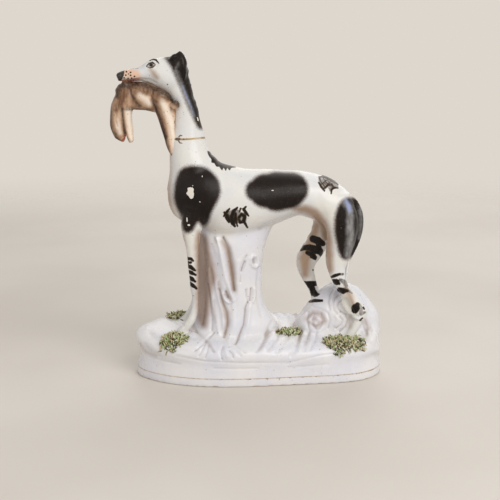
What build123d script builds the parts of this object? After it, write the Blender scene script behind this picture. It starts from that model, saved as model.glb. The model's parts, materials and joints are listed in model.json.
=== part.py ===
from build123d import *
import os

# Glazed earthenware greyhound with a hare, press-moulded in halves over one hollow.
# The origin is the middle of the base's underside: +Z is up, +X runs from head to
# rump and +Y to the far side. Lengths are in millimetres and angles in degrees.

# Dog: its stand, its spread and the thickness of the moulded clay
body_length = 170.0
body_width = 58.0
back_height = 140.0
ground_height = 40.0
neck_rise = 100.0
shell_wall = 4.5

# Base: what its outline leaves around the dog, and the plate that closes it
chest_margin = 29.5
rump_margin = 16.5
side_margin = 18.0
plate_thickness = 5.0
vent_diameter = 12.0
ground_slope = 7.0
ground_fall = 1.6
outcrop_length = 72.0
outcrop_width = 48.0
outcrop_height = 39.0

# Trunk under the belly
trunk_depth = 60.0
trunk_width = 44.0

# Neck, head and ears
neck_depth = 38.0
neck_width = 24.0
head_length = 64.0
head_height = 35.0
head_width = 27.0
ear_depth = 14.0
ear_thickness = 6.4

# Legs and tail
leg_spacing = 34.0
fore_leg_depth = 20.0
fore_leg_width = 15.0
thigh_depth = 38.0
thigh_width = 25.0
shank_depth = 10.0
shank_width = 10.0
tail_diameter = 7.4

# Hare
hare_span = 55.0
hare_drop = 50.0
hare_depth = 24.0
hare_width = 21.0
hare_head_depth = 19.0
hare_leg_depth = 17.0
hare_ear_depth = 6.0
scut_diameter = 7.6

# Grass: shredded clay pressed on in tufts
blade_length = 7.0
blade_diameter = 1.8
blade_lean = 35.0
blade_count = 14
pad_height = 2.0
tuft_sink = 4.0

# Round sections are drawn through this many points, and cuts run past by this much
ring_points = 10
overrun = 1.0

base_length = chest_margin + body_length + rump_margin
base_width = body_width + 2 * side_margin
chest_x = chest_margin - base_length / 2
back_z = ground_height + back_height
standing = (Align.CENTER, Align.CENTER, Align.MIN)

# Half of the base's outline, from the head end to the rump end
plan_shares = [
    (-0.50, 0.00), (-0.483, 0.14), (-0.438, 0.265), (-0.37, 0.375), (-0.27, 0.465),
    (-0.13, 0.505), (0.00, 0.495), (0.14, 0.46), (0.27, 0.43), (0.38, 0.375),
    (0.45, 0.27), (0.49, 0.13), (0.50, 0.00),
]

# Levels of the base: height over the plate, size of the outline, part of the slope
mound_shares = [
    (0.00, 1.00, 0.0), (0.26, 0.985, 0.0), (0.43, 0.955, 0.15), (0.52, 0.965, 0.5),
    (0.62, 1.01, 0.9), (0.74, 1.03, 1.0), (0.85, 1.00, 1.0), (0.94, 0.93, 1.0),
    (0.985, 0.82, 1.0), (1.00, 0.62, 1.0),
]
mound_hollow_shares = [
    (0.00, 0.95, 0.0), (0.56, 0.95, 0.7), (0.88, 0.88, 1.0), (1.00, 0.60, 1.0),
]

# Rocks behind the hind legs: height, middle along, half length, half width
outcrop_shares = [
    (-0.35, 0.00, 0.50, 0.49), (0.00, 0.00, 0.49, 0.48), (0.36, -0.01, 0.455, 0.45),
    (0.57, -0.01, 0.37, 0.39), (0.77, 0.00, 0.275, 0.31), (0.92, 0.01, 0.17, 0.20),
    (1.00, 0.02, 0.08, 0.10),
]
outcrop_place_shares = (0.892, 0.23)

# Trunk: place along the body, height, half depth, half width
trunk_shares = [
    (0.338, -0.09, 0.64, 0.61), (0.333, 0.00, 0.61, 0.59), (0.333, 0.065, 0.585, 0.56),
    (0.320, 0.11, 0.535, 0.53), (0.313, 0.19, 0.487, 0.50), (0.310, 0.34, 0.475, 0.47),
    (0.315, 0.49, 0.485, 0.46), (0.332, 0.58, 0.498, 0.43), (0.358, 0.66, 0.505, 0.39),
    (0.373, 0.73, 0.50, 0.33),
]

# Barrel: place along the body, back, belly, half width
barrel_shares = [
    (0.000, 0.93, 0.81, 0.10), (0.012, 0.98, 0.76, 0.19), (0.04, 1.04, 0.71, 0.30),
    (0.09, 1.06, 0.675, 0.40), (0.17, 1.06, 0.65, 0.47), (0.25, 1.045, 0.59, 0.49),
    (0.34, 1.015, 0.57, 0.50), (0.46, 1.00, 0.62, 0.485), (0.57, 0.995, 0.675, 0.455),
    (0.65, 0.99, 0.707, 0.44), (0.73, 0.975, 0.69, 0.44), (0.80, 0.95, 0.66, 0.43),
    (0.88, 0.895, 0.63, 0.39), (0.94, 0.83, 0.60, 0.31), (0.98, 0.755, 0.60, 0.20),
    (1.00, 0.70, 0.63, 0.10),
]

# Neck: place over its root, rise over the back, half depth, half width
neck_root_share = 0.126
neck_x = chest_x + neck_root_share * body_length
neck_shares = [
    (0.03, -0.20, 0.55, 0.87), (0.01, -0.05, 0.55, 0.85), (-0.01, 0.08, 0.51, 0.75),
    (-0.07, 0.17, 0.44, 0.645), (-0.09, 0.26, 0.39, 0.56), (-0.11, 0.38, 0.32, 0.50),
    (-0.135, 0.50, 0.28, 0.47), (-0.215, 0.62, 0.285, 0.465), (-0.275, 0.72, 0.275, 0.46),
]

# Head: place from the nape to the nose, top, underside, half width
head_foot_share = 0.60
head_z = back_z + head_foot_share * neck_rise
head_shares = [
    (0.02, 0.75, 0.35, 0.20), (0.06, 0.90, 0.22, 0.34), (0.13, 0.985, 0.12, 0.45),
    (0.24, 1.01, 0.08, 0.50), (0.36, 0.995, 0.17, 0.475), (0.48, 0.97, 0.30, 0.40),
    (0.58, 0.90, 0.385, 0.33), (0.68, 0.78, 0.415, 0.285), (0.80, 0.73, 0.42, 0.255),
    (0.91, 0.68, 0.42, 0.215), (0.975, 0.63, 0.44, 0.15), (1.00, 0.58, 0.49, 0.07),
]

# Ears: place from the nape, height, place out from the middle, half depth, half thickness
ear_shares = [
    (0.175, 0.44, 0.38, 0.34, 0.40), (0.16, 0.64, 0.41, 0.50, 0.50),
    (0.15, 0.86, 0.39, 0.46, 0.50), (0.148, 1.04, 0.33, 0.28, 0.36),
    (0.14, 1.14, 0.28, 0.09, 0.14),
]

# Fore legs: place along the body, height, half depth, half width
fore_leg_shares = [
    (0.132, 0.786, 0.52, 0.55), (0.125, 0.689, 0.49, 0.53), (0.119, 0.607, 0.375, 0.47),
    (0.122, 0.536, 0.29, 0.40), (0.1235, 0.4535, 0.245, 0.35), (0.129, 0.364, 0.215, 0.31),
    (0.133, 0.279, 0.20, 0.29), (0.1365, 0.20, 0.17, 0.27), (0.1265, 0.121, 0.185, 0.28),
    (0.1035, 0.064, 0.195, 0.31), (0.0705, 0.018, 0.20, 0.33), (0.044, -0.021, 0.175, 0.33),
    (0.0265, -0.065, 0.15, 0.27),
]

# Near thigh and shank: place along, height, place out, half depth, half width
near_thigh_shares = [
    (0.838, 0.845, 0.34, 0.36, 0.40), (0.856, 0.77, 0.36, 0.48, 0.48),
    (0.882, 0.69, 0.38, 0.435, 0.49), (0.888, 0.62, 0.40, 0.395, 0.47),
    (0.876, 0.543, 0.42, 0.35, 0.43), (0.859, 0.465, 0.45, 0.29, 0.37),
    (0.853, 0.407, 0.47, 0.225, 0.31), (0.862, 0.35, 0.50, 0.18, 0.27),
    (0.881, 0.293, 0.52, 0.148, 0.24), (0.906, 0.246, 0.53, 0.132, 0.215),
    (0.938, 0.193, 0.545, 0.132, 0.205), (0.967, 0.143, 0.56, 0.132, 0.20),
    (0.982, 0.118, 0.56, 0.105, 0.18),
]

# Far thigh and shank, which stands further forward
far_thigh_shares = [
    (0.826, 0.785, 0.34, 0.38, 0.40), (0.815, 0.70, 0.37, 0.37, 0.44),
    (0.797, 0.62, 0.40, 0.33, 0.42), (0.774, 0.543, 0.43, 0.30, 0.38),
    (0.744, 0.478, 0.46, 0.285, 0.34), (0.72, 0.42, 0.49, 0.26, 0.30),
    (0.711, 0.37, 0.50, 0.225, 0.27), (0.72, 0.314, 0.50, 0.18, 0.24),
    (0.74, 0.257, 0.505, 0.14, 0.215), (0.756, 0.207, 0.51, 0.12, 0.20),
    (0.777, 0.15, 0.52, 0.13, 0.19), (0.797, 0.10, 0.53, 0.11, 0.18),
]

# Hocks down to the paws: place along, height, place out, half depth, half width
near_hock_shares = [
    (0.982, 0.15, 0.56, 0.40, 0.40), (0.982, 0.10, 0.565, 0.44, 0.43),
    (0.956, 0.045, 0.575, 0.37, 0.41), (0.934, -0.005, 0.585, 0.37, 0.43),
    (0.910, -0.045, 0.59, 0.40, 0.50), (0.888, -0.10, 0.59, 0.34, 0.42),
]
far_hock_shares = [
    (0.797, 0.13, 0.53, 0.40, 0.40), (0.797, 0.085, 0.53, 0.42, 0.42),
    (0.777, 0.03, 0.53, 0.37, 0.41), (0.753, -0.02, 0.53, 0.38, 0.45),
    (0.730, -0.08, 0.53, 0.34, 0.42),
]

# Tail: place along, height, place out, half thickness
tail_shares = [
    (0.932, 0.843, 0.09, 0.38), (0.966, 0.803, 0.12, 0.48), (0.987, 0.75, 0.13, 0.50),
    (0.994, 0.68, 0.15, 0.49), (0.985, 0.582, 0.16, 0.46), (0.959, 0.493, 0.18, 0.43),
    (0.934, 0.429, 0.19, 0.42), (0.922, 0.364, 0.22, 0.41), (0.917, 0.32, 0.25, 0.39),
    (0.905, 0.279, 0.28, 0.38), (0.892, 0.239, 0.32, 0.37), (0.893, 0.196, 0.38, 0.35),
    (0.909, 0.153, 0.44, 0.33), (0.935, 0.12, 0.49, 0.31), (0.962, 0.097, 0.52, 0.27),
    (0.977, 0.084, 0.53, 0.20),
]

# Hare: place from the dog's mouth along and below it, half depth, half width
mouth_shares = (0.62, 0.42)
hare_body_shares = [
    (-0.45, -0.215, 0.22, 0.24), (-0.405, -0.175, 0.34, 0.36), (-0.32, -0.205, 0.44, 0.43),
    (-0.205, -0.228, 0.48, 0.475), (-0.06, -0.235, 0.50, 0.50), (0.087, -0.254, 0.51, 0.50),
    (0.215, -0.304, 0.48, 0.475), (0.323, -0.364, 0.375, 0.43), (0.405, -0.414, 0.25, 0.29),
]
hare_head_shares = [
    (-0.33, -0.29, 0.42, 0.38), (-0.36, -0.45, 0.48, 0.40), (-0.376, -0.61, 0.49, 0.40),
    (-0.386, -0.75, 0.465, 0.37), (-0.404, -0.87, 0.34, 0.29), (-0.42, -0.96, 0.17, 0.16),
]
hare_fore_leg_shares = [
    (-0.295, -0.29, 0.30, 0.20), (-0.285, -0.53, 0.235, 0.17), (-0.258, -0.77, 0.188, 0.15),
    (-0.24, -0.93, 0.15, 0.13), (-0.23, -1.01, 0.11, 0.10),
]
hare_hind_leg_shares = [
    (0.27, -0.33, 0.50, 0.26), (0.296, -0.49, 0.44, 0.24), (0.331, -0.69, 0.33, 0.20),
    (0.36, -0.89, 0.27, 0.18), (0.382, -1.09, 0.21, 0.16), (0.396, -1.21, 0.175, 0.145),
    (0.405, -1.28, 0.12, 0.10),
]
hare_ear_shares = [
    (-0.41, -0.54, 0.34, 0.12), (-0.43, -0.43, 0.48, 0.14), (-0.43, -0.31, 0.42, 0.13),
    (-0.40, -0.20, 0.20, 0.08),
]
hare_leg_out_share = 0.29
hare_ear_out_share = 0.38
scut_shares = (0.47, -0.42, 0.54)

# The firing vent in the plate, and the turn from one blade of grass to the next
vent_share = 0.12
golden_share = 0.382

# Tufts: name, place along and across the base, radius over the base's width
tuft_shares = [
    ("tuft_fore_front", -0.345, -0.31, 0.085), ("tuft_fore_back", -0.33, 0.24, 0.10),
    ("tuft_middle", 0.13, -0.09, 0.10), ("tuft_hind_front", 0.29, -0.315, 0.085),
    ("tuft_hind_end", 0.38, -0.27, 0.07),
]


def ring(centre, heading, half_depth, half_width):
    """Closed oval wire, square to a heading that lies mostly in the XZ plane."""
    forward = heading.normalized()
    across = Vector(0, 1, 0) - forward * forward.Y
    plane = Plane(origin=centre, x_dir=across.normalized(), z_dir=forward)
    points = []
    for index in range(ring_points):
        spoke = Vector(1, 0, 0).rotate(Axis.Z, 360 * index / ring_points)
        points.append(plane.from_local_coords(Vector(spoke.X * half_width, spoke.Y * half_depth, 0)))
    return Wire([Edge.make_spline(points, periodic=True)])


def limb(stations, heading=None):
    """Solid through oval sections: each station is a centre, a half depth and a half width.

    The sections are square to the heading, or to the limb's own line where none is given.
    """
    wires = []
    for index, (centre, half_depth, half_width) in enumerate(stations):
        before = stations[max(index - 1, 0)][0]
        after = stations[min(index + 1, len(stations) - 1)][0]
        wires.append(ring(centre, heading or after - before, half_depth, half_width))
    return Solid.make_loft(wires)


def thinned(stations):
    """The same sections drawn in by the clay's wall, as far as they leave room for a hollow."""
    kept = []
    for centre, half_depth, half_width in stations:
        if min(half_depth, half_width) > 2 * shell_wall:
            kept.append((centre, half_depth - shell_wall, half_width - shell_wall))
    return kept


def on_body(along, height, out=0.0):
    """A place over the ground, as shares of the dog's length, height and leg spacing."""
    return Vector(
        chest_x + along * body_length,
        -out * leg_spacing,
        ground_height + height * back_height,
    )


def at_mouth(along, up, out=0.0):
    """A place from the dog's mouth, as shares of the hare's span, drop and width."""
    mouth_along, mouth_up = mouth_shares
    mouth_x = neck_x - mouth_along * head_length
    mouth_z = head_z + mouth_up * head_height
    return Vector(mouth_x + along * hare_span, -out * hare_width, mouth_z + up * hare_drop)


def mirrored(shape):
    """The same shape on the far side."""
    return shape.mirror(Plane.XZ)


def largest(shape):
    """The one piece that stays outside what was cut away, without slivers."""
    return max(shape.solids(), key=lambda solid: solid.volume)


def cut_from(shape, *others):
    """A shape without its neighbours."""
    for other in others:
        shape = shape - other
    return largest(shape)


def halves(shape):
    """Near and far halves, on either side of the mould seam."""
    reach = 2 * base_length
    block = Box(2 * reach, reach, 2 * reach, align=(Align.CENTER, Align.MAX, Align.CENTER))
    return largest(shape & block), largest(shape - block)


def plan_wire(height, size, slope, inset=0.0):
    """The base's outline at a height, sized about the origin and sloped down to the front."""
    length = size * base_length - 2 * inset
    width = size * base_width - 2 * inset
    front = [(along * length, -across * width) for along, across in plan_shares]
    back = [(along * length, across * width) for along, across in reversed(plan_shares[1:-1])]
    plane = Plane.XY.offset(height).rotated((slope * ground_slope, slope * ground_fall, 0))
    points = [plane.from_local_coords(Vector(along, across, 0)) for along, across in front + back]
    return Wire([Edge.make_spline(points, periodic=True)])


def mound_form(level_shares, inset=0.0):
    """Plinth, overhanging rim and sloping ground, or the hollow inside them."""
    wires = []
    rise = ground_height - plate_thickness - inset
    for height_share, size_share, slope_share in level_shares:
        height = plate_thickness + height_share * rise
        wires.append(plan_wire(height, size_share, slope_share, inset))
    return Solid.make_loft(wires, ruled=True)


def outcrop_stations():
    """Sections of the rocks that stand behind the hind legs."""
    along, across = outcrop_place_shares
    foot = on_body(along, 0.0, -across)
    stations = []
    for up, shift, half_length, half_width in outcrop_shares:
        centre = foot + Vector(shift * outcrop_length, 0, up * outcrop_height)
        stations.append((centre, half_length * outcrop_length, half_width * outcrop_width))
    return stations


def barrel_stations():
    """Sections of the body from chest to rump."""
    stations = []
    for along, back, belly, half_width in barrel_shares:
        centre = on_body(along, (back + belly) / 2)
        stations.append((centre, (back - belly) / 2 * back_height, half_width * body_width))
    return stations


def neck_stations():
    """Sections of the neck from inside the chest to inside the head."""
    stations = []
    for along, up, half_depth, half_width in neck_shares:
        centre = Vector(neck_x + along * neck_depth, 0, back_z + up * neck_rise)
        stations.append((centre, half_depth * neck_depth, half_width * neck_width))
    return stations


def head_stations():
    """Sections of the head from nape to nose."""
    stations = []
    for along, top, under, half_width in head_shares:
        centre = Vector(neck_x - along * head_length, 0, head_z + (top + under) / 2 * head_height)
        stations.append((centre, (top - under) / 2 * head_height, half_width * head_width))
    return stations


def trunk_stations():
    """Sections of the trunk from inside the base to inside the body."""
    stations = []
    for along, up, half_depth, half_width in trunk_shares:
        stations.append((on_body(along, up), half_depth * trunk_depth, half_width * trunk_width))
    return stations


def body_limb(shares, depth, width):
    """A limb given on the body, with its own depth and width."""
    stations = []
    for along, up, out, half_depth, half_width in shares:
        stations.append((on_body(along, up, out), half_depth * depth, half_width * width))
    return limb(stations)


def fore_leg():
    """Near fore leg, from inside the shoulder to inside the ground."""
    shares = [(along, up, 0.5, depth, width) for along, up, depth, width in fore_leg_shares]
    return body_limb(shares, fore_leg_depth, fore_leg_width)


def hind_leg(thigh_shares, hock_shares):
    """A hind leg: thigh and shank down to the hock, then the hock down to the paw."""
    thigh = body_limb(thigh_shares, thigh_depth, thigh_width)
    return thigh + body_limb(hock_shares, shank_depth, shank_width)


def tail_form():
    """Tail down the rump, between the legs and up under the near hock."""
    shares = [(along, up, out, thick, thick) for along, up, out, thick in tail_shares]
    return body_limb(shares, tail_diameter, tail_diameter)


def ear():
    """Near ear, folded back against the nape."""
    stations = []
    for along, up, out, half_depth, half_thickness in ear_shares:
        centre = Vector(neck_x - along * head_length, -out * head_width, head_z + up * head_height)
        stations.append((centre, half_depth * ear_depth, half_thickness * ear_thickness))
    return limb(stations)


def hare_limb(shares, depth, width, out=0.0):
    """A piece of the hare, hung from the dog's mouth."""
    stations = []
    for along, up, half_depth, half_width in shares:
        stations.append((at_mouth(along, up, out), half_depth * depth, half_width * width))
    return limb(stations)


def tuft(along, across, radius_share, legs):
    """A low pad of clay pressed onto the ground, with short blades that lean outward."""
    slope = Plane.XY.offset(ground_height).rotated((ground_slope, ground_fall, 0))
    foot = slope.from_local_coords(Vector(along * base_length, across * base_width, 0))
    place = Pos(*foot) * Rot(ground_slope, ground_fall, 0)
    radius = radius_share * base_width
    pad = Cylinder(radius, tuft_sink + pad_height, align=standing)
    pad = cut_from(place * Pos(0, 0, -tuft_sink) * pad, ground, outcrop)
    blades = []
    for index in range(blade_count):
        out = (radius - blade_diameter) * ((index + 0.5) / blade_count) ** 0.5
        turned = Rot(0, 0, 360 * golden_share * index) * Pos(out, 0, pad_height / 2)
        lean = Rot(0, blade_lean * out / radius, 0)
        blade = Cone(blade_diameter / 2, blade_diameter / 4, blade_length, align=standing)
        blades.append(place * turned * lean * blade)
    return cut_from(pad + blades, *legs)


# Solid forms, before they are cut where they meet
forms = {
    "barrel": (barrel_stations(), Vector(1, 0, 0)),
    "neck": (neck_stations(), Vector(0, 0, 1)),
    "head": (head_stations(), Vector(-1, 0, 0)),
    "trunk": (trunk_stations(), Vector(0, 0, 1)),
}
barrel, neck, head, trunk = [limb(stations, heading) for stations, heading in forms.values()]
ground = mound_form(mound_shares)
outcrop = limb(outcrop_stations(), Vector(0, 0, 1))
mound = ground + outcrop
body = barrel + neck

# One hollow runs from the base up through the trunk, the body and the neck to the head
hollows = {"base": mound_form(mound_hollow_shares, shell_wall)}
for name, (stations, heading) in forms.items():
    hollows[name] = limb(thinned(stations), heading)

pieces = {}

plate = Solid.extrude(Face(plan_wire(0.0, 1.0, 0.0)), Vector(0, 0, plate_thickness))
vent = Cylinder(vent_diameter / 2, plate_thickness + overrun, align=standing)
pieces["base_plate"] = plate - Pos(vent_share * base_length, 0, -overrun / 2) * vent

mound_shell = cut_from(ground, hollows["base"], hollows["trunk"]) + cut_from(outcrop, ground)
trunk_shell = cut_from(trunk, body, mound, hollows["trunk"])
body_shell = cut_from(body, *hollows.values())
head_shell = cut_from(head, body, hollows["neck"], hollows["head"])
pieces["mound_front"], pieces["mound_back"] = halves(mound_shell)
pieces["trunk_front"], pieces["trunk_back"] = halves(trunk_shell)
pieces["torso_near"], pieces["torso_far"] = halves(body_shell)
pieces["head_near"], pieces["head_far"] = halves(head_shell)

near_leg = hind_leg(near_thigh_shares, near_hock_shares)
far_leg = mirrored(hind_leg(far_thigh_shares, far_hock_shares))
pieces["hind_leg_near"] = cut_from(near_leg, body, trunk, mound)
pieces["hind_leg_far"] = cut_from(far_leg, body, trunk, mound)
fore_legs = (fore_leg(), mirrored(fore_leg()))
pieces["fore_leg_near"] = cut_from(fore_legs[0], body, trunk, ground)
pieces["fore_leg_far"] = cut_from(fore_legs[1], body, trunk, ground)
pieces["tail"] = cut_from(tail_form(), body, near_leg, far_leg, mound)

pieces["ear_near"] = cut_from(ear(), head, body)
pieces["ear_far"] = cut_from(mirrored(ear()), head, body)

hare = hare_limb(hare_body_shares, hare_depth, hare_width)
hare_head = hare_limb(hare_head_shares, hare_head_depth, hare_width)
pieces["hare_body"] = cut_from(hare, head, body)
pieces["hare_head"] = cut_from(hare_head, hare, head)

hare_parts = {
    "hare_fore_leg": (hare_fore_leg_shares, hare_leg_depth, hare_leg_out_share),
    "hare_hind_leg": (hare_hind_leg_shares, hare_leg_depth, hare_leg_out_share),
    "hare_ear": (hare_ear_shares, hare_ear_depth, hare_ear_out_share),
}
for name, (shares, depth, out) in hare_parts.items():
    form = hare_limb(shares, depth, hare_width, out)
    pieces[name + "_near"] = cut_from(form, hare, hare_head, head, body)
    pieces[name + "_far"] = cut_from(mirrored(form), hare, hare_head, head, body)

scut_along, scut_up, scut_out = scut_shares
scut = Pos(*at_mouth(scut_along, scut_up, scut_out)) * Sphere(scut_diameter / 2)
pieces["hare_tail"] = cut_from(scut, hare, body)

for name, along, across, radius_share in tuft_shares:
    pieces[name] = tuft(along, across, radius_share, (near_leg, *fore_legs))

os.makedirs("parts", exist_ok=True)
for name, piece in pieces.items():
    export_step(piece, os.path.join("parts", name + ".step"))
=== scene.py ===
import json
import math
import random

import bpy
import numpy as np
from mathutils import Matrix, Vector
from mathutils.bvhtree import BVHTree

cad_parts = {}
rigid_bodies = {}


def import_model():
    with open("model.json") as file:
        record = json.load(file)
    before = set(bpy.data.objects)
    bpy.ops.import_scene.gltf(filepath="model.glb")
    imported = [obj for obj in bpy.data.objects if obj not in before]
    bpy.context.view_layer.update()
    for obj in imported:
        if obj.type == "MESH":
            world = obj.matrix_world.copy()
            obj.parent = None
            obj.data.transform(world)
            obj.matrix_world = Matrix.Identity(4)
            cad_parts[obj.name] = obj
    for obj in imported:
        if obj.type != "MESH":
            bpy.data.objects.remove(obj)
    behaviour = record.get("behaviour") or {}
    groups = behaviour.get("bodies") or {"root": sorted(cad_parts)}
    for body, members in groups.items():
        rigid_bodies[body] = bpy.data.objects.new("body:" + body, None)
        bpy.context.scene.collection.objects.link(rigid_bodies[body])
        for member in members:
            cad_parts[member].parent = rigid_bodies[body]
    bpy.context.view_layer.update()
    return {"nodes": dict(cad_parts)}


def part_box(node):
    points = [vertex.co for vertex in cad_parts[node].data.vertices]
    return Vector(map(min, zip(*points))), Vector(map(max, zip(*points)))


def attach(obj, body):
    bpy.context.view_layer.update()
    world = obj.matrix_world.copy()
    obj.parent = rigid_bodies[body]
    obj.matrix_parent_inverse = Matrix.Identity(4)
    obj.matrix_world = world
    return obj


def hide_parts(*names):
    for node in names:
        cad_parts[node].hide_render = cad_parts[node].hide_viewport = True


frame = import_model()
mm = 0.001

# Where the photograph was taken from, measured from the middle of the base's underside
cameraView = {
    "place": (-0.0393, -0.8991, 0.2882),
    "pitchDown": 11.25,
    "turn": 2.0,
    "focalPixels": 1051.3,
    "framePixels": 500,
    "sensorWidth": 36.0,
    "farthest": 20,
}
pixelSize = 0.00087  # one pixel of the photograph at the figure, in metres


def viewAxes():
    pitch = math.radians(cameraView["pitchDown"])
    turn = math.radians(cameraView["turn"])
    ahead = Vector((math.sin(turn) * math.cos(pitch), math.cos(turn) * math.cos(pitch), -math.sin(pitch)))
    right = Vector((math.cos(turn), -math.sin(turn), 0.0))
    return ahead, right, right.cross(ahead)


def photoRay(px, py):
    # The line of sight through a pixel
    ahead, right, up = viewAxes()
    middle, focal = cameraView["framePixels"] / 2, cameraView["focalPixels"]
    line = ahead + right * ((px - middle) / focal) - up * ((py - middle) / focal)
    return Vector(cameraView["place"]), line.normalized()


def photoPlace(points):
    # The pixels at which points show, and the lines of sight to them
    ahead, right, up = (np.array(axis) for axis in viewAxes())
    middle, focal = cameraView["framePixels"] / 2, cameraView["focalPixels"]
    line = points - np.array(cameraView["place"])
    depth = line @ ahead
    return middle + (line @ right) / depth * focal, middle - (line @ up) / depth * focal, line


def makeCamera():
    pitch = math.radians(90 - cameraView["pitchDown"])
    turn = math.radians(-cameraView["turn"])
    bpy.ops.object.camera_add(location=cameraView["place"], rotation=(pitch, 0, turn))
    camera = bpy.context.object
    camera.name = "photoCamera"
    camera.data.sensor_width = cameraView["sensorWidth"]
    camera.data.lens = cameraView["focalPixels"] / cameraView["framePixels"] * cameraView["sensorWidth"]
    camera.data.clip_end = cameraView["farthest"]
    bpy.context.scene.camera = camera


# Mesh helpers

def deselectAll():
    if bpy.context.object and bpy.context.object.mode != "OBJECT":
        bpy.ops.object.mode_set(mode="OBJECT")
    bpy.ops.object.select_all(action="DESELECT")


def makeActive(piece):
    deselectAll()
    piece.select_set(True)
    bpy.context.view_layer.objects.active = piece


def shapeAll(piece, operator, **options):
    # Runs an edit-mode operator on the whole piece
    makeActive(piece)
    bpy.ops.object.mode_set(mode="EDIT")
    bpy.ops.mesh.select_all(action="SELECT")
    operator(**options)
    bpy.ops.object.mode_set(mode="OBJECT")


def readRows(items, field, width=3, kind=np.float64):
    rows = np.empty(len(items) * width, dtype=kind)
    items.foreach_get(field, rows)
    return rows.reshape(-1, width)


def readPoints(piece):
    return readRows(piece.data.vertices, "co")


def readNormals(piece):
    return readRows(piece.data.vertices, "normal")


def readEdges(piece):
    return readRows(piece.data.edges, "vertices", 2, np.int32)


def readFaceCentres(piece):
    return readRows(piece.data.polygons, "center")


def writePoints(piece, points):
    piece.data.vertices.foreach_set("co", points.ravel())
    piece.data.update()


def neighbourMean(values, edges):
    degree = np.bincount(edges.ravel(), minlength=len(values))
    total = np.zeros_like(values)
    for axis in range(values.shape[1]):
        total[:, axis] += np.bincount(edges[:, 0], values[edges[:, 1], axis], len(values))
        total[:, axis] += np.bincount(edges[:, 1], values[edges[:, 0], axis], len(values))
    return total / np.maximum(degree, 1)[:, None]


def easeIn(values, start, length):
    # Nothing up to the start, all of it after the length
    return np.clip((values - start) / length, 0, 1)


def joinPieces(first, others):
    makeActive(first)
    for other in others:
        other.select_set(True)
    bpy.ops.object.join()
    return first


def copyNodes(nodeNames, pieceName):
    # One new mesh from copies of the named solids, with their loose triangles merged
    deselectAll()
    for nodeName in nodeNames:
        twin = bpy.data.objects.new(pieceName, frame["nodes"][nodeName].data.copy())
        bpy.context.collection.objects.link(twin)
        twin.select_set(True)
        bpy.context.view_layer.objects.active = twin
    bpy.ops.object.join()
    piece = bpy.context.view_layer.objects.active
    piece.name = pieceName
    piece.data.materials.clear()
    shapeAll(piece, bpy.ops.mesh.remove_doubles, threshold=0.00001)
    return piece


def addClay(piece, lumps):
    # Rounded lumps pressed on before the skin is drawn: pixel, depths in mm, radii in mm and tilt in degrees
    made = []
    for values in lumps.values():
        for depth in values["depths"]:
            place, line = photoRay(*values["pixel"])
            middle = place + line * ((depth * mm - place.y) / line.y)
            deselectAll()
            bpy.ops.mesh.primitive_uv_sphere_add(segments=32, ring_count=20, radius=mm, location=middle)
            lump = bpy.context.object
            lump.scale = values["radii"]
            lump.rotation_euler = (0, -math.radians(values["tilt"]), 0)
            bpy.ops.object.transform_apply(location=True, rotation=True, scale=True)
            made.append(lump)
    return joinPieces(piece, made)


def remeshSkin(piece, voxel):
    makeActive(piece)
    skin = piece.modifiers.new("skin", "REMESH")
    skin.mode = "VOXEL"
    skin.voxel_size = voxel
    bpy.ops.object.modifier_apply(modifier=skin.name)


def keepOutermost(piece):
    # A sealed hollow leaves an inner skin behind, which is dropped
    name = piece.name
    shapeAll(piece, bpy.ops.mesh.separate, type="LOOSE")
    parts = list(bpy.context.selected_objects)
    parts.sort(key=lambda part: part.dimensions.length, reverse=True)
    for part in parts[1:]:
        bpy.data.objects.remove(part)
    parts[0].name = name
    return parts[0]


def softenSkin(piece, values):
    # Clay and glaze fill the creases between parts, and wear the ridges less
    edges = readEdges(piece)
    points = readPoints(piece)
    for _ in range(values["softenRounds"]):
        pull = neighbourMean(points, edges) - points
        rise = np.einsum("ij,ij->i", pull, readNormals(piece))
        share = np.where(rise > 0, values["creasePull"], values["ridgePull"])
        points = points + pull * share[:, None]
        writePoints(piece, points)


def nudgeSkin(piece, nudges):
    # Pushes the outline where the photograph shows it: pixel, the pixel it goes to, reach in pixels
    reach = readReach(piece)
    right = np.array(viewAxes()[1])
    upright = np.array((0.0, 0.0, 1.0))
    total = np.zeros(len(reach["points"]))
    shift = np.zeros((len(reach["points"]), 2))
    for fromX, fromY, toX, toY, radius in nudges:
        share = np.exp(-((reach["nearX"] - fromX) ** 2 + (reach["nearY"] - fromY) ** 2) / radius ** 2)
        total += share
        shift += share[:, None] * np.array((toX - fromX, toY - fromY))
    shift /= np.maximum(total, 1.0)[:, None]
    moved = shift[:, :1] * right - shift[:, 1:] * upright
    writePoints(piece, reach["points"] + moved * pixelSize)


def settleSkin(piece, share, rounds):
    # Wipes the clay smooth where the share is high
    edges = readEdges(piece)
    points = readPoints(piece)
    for _ in range(rounds):
        points = points + (neighbourMean(points, edges) - points) * share[:, None]
    writePoints(piece, points)


# Slanted waves that make the soft unevenness of hand-pressed clay
clayWaves = {"count": 9, "shortest": 0.6, "longest": 1.6, "latestStart": 6.28}


def smoothNoise(points, scale, seed):
    generator = np.random.default_rng(seed)
    total = np.zeros(len(points))
    for _ in range(clayWaves["count"]):
        line = generator.normal(size=3)
        line /= np.linalg.norm(line)
        wave = 2 * math.pi / (scale * generator.uniform(clayWaves["shortest"], clayWaves["longest"]))
        total += np.sin(points @ line * wave + generator.uniform(0, clayWaves["latestStart"]))
    return total / math.sqrt(clayWaves["count"])


def selectFaces(piece, chosen):
    makeActive(piece)
    bpy.context.tool_settings.mesh_select_mode = (False, False, True)
    piece.data.vertices.foreach_set("select", np.zeros(len(piece.data.vertices), dtype=bool))
    piece.data.edges.foreach_set("select", np.zeros(len(piece.data.edges), dtype=bool))
    piece.data.polygons.foreach_set("select", chosen)
    bpy.ops.object.mode_set(mode="EDIT")


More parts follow.
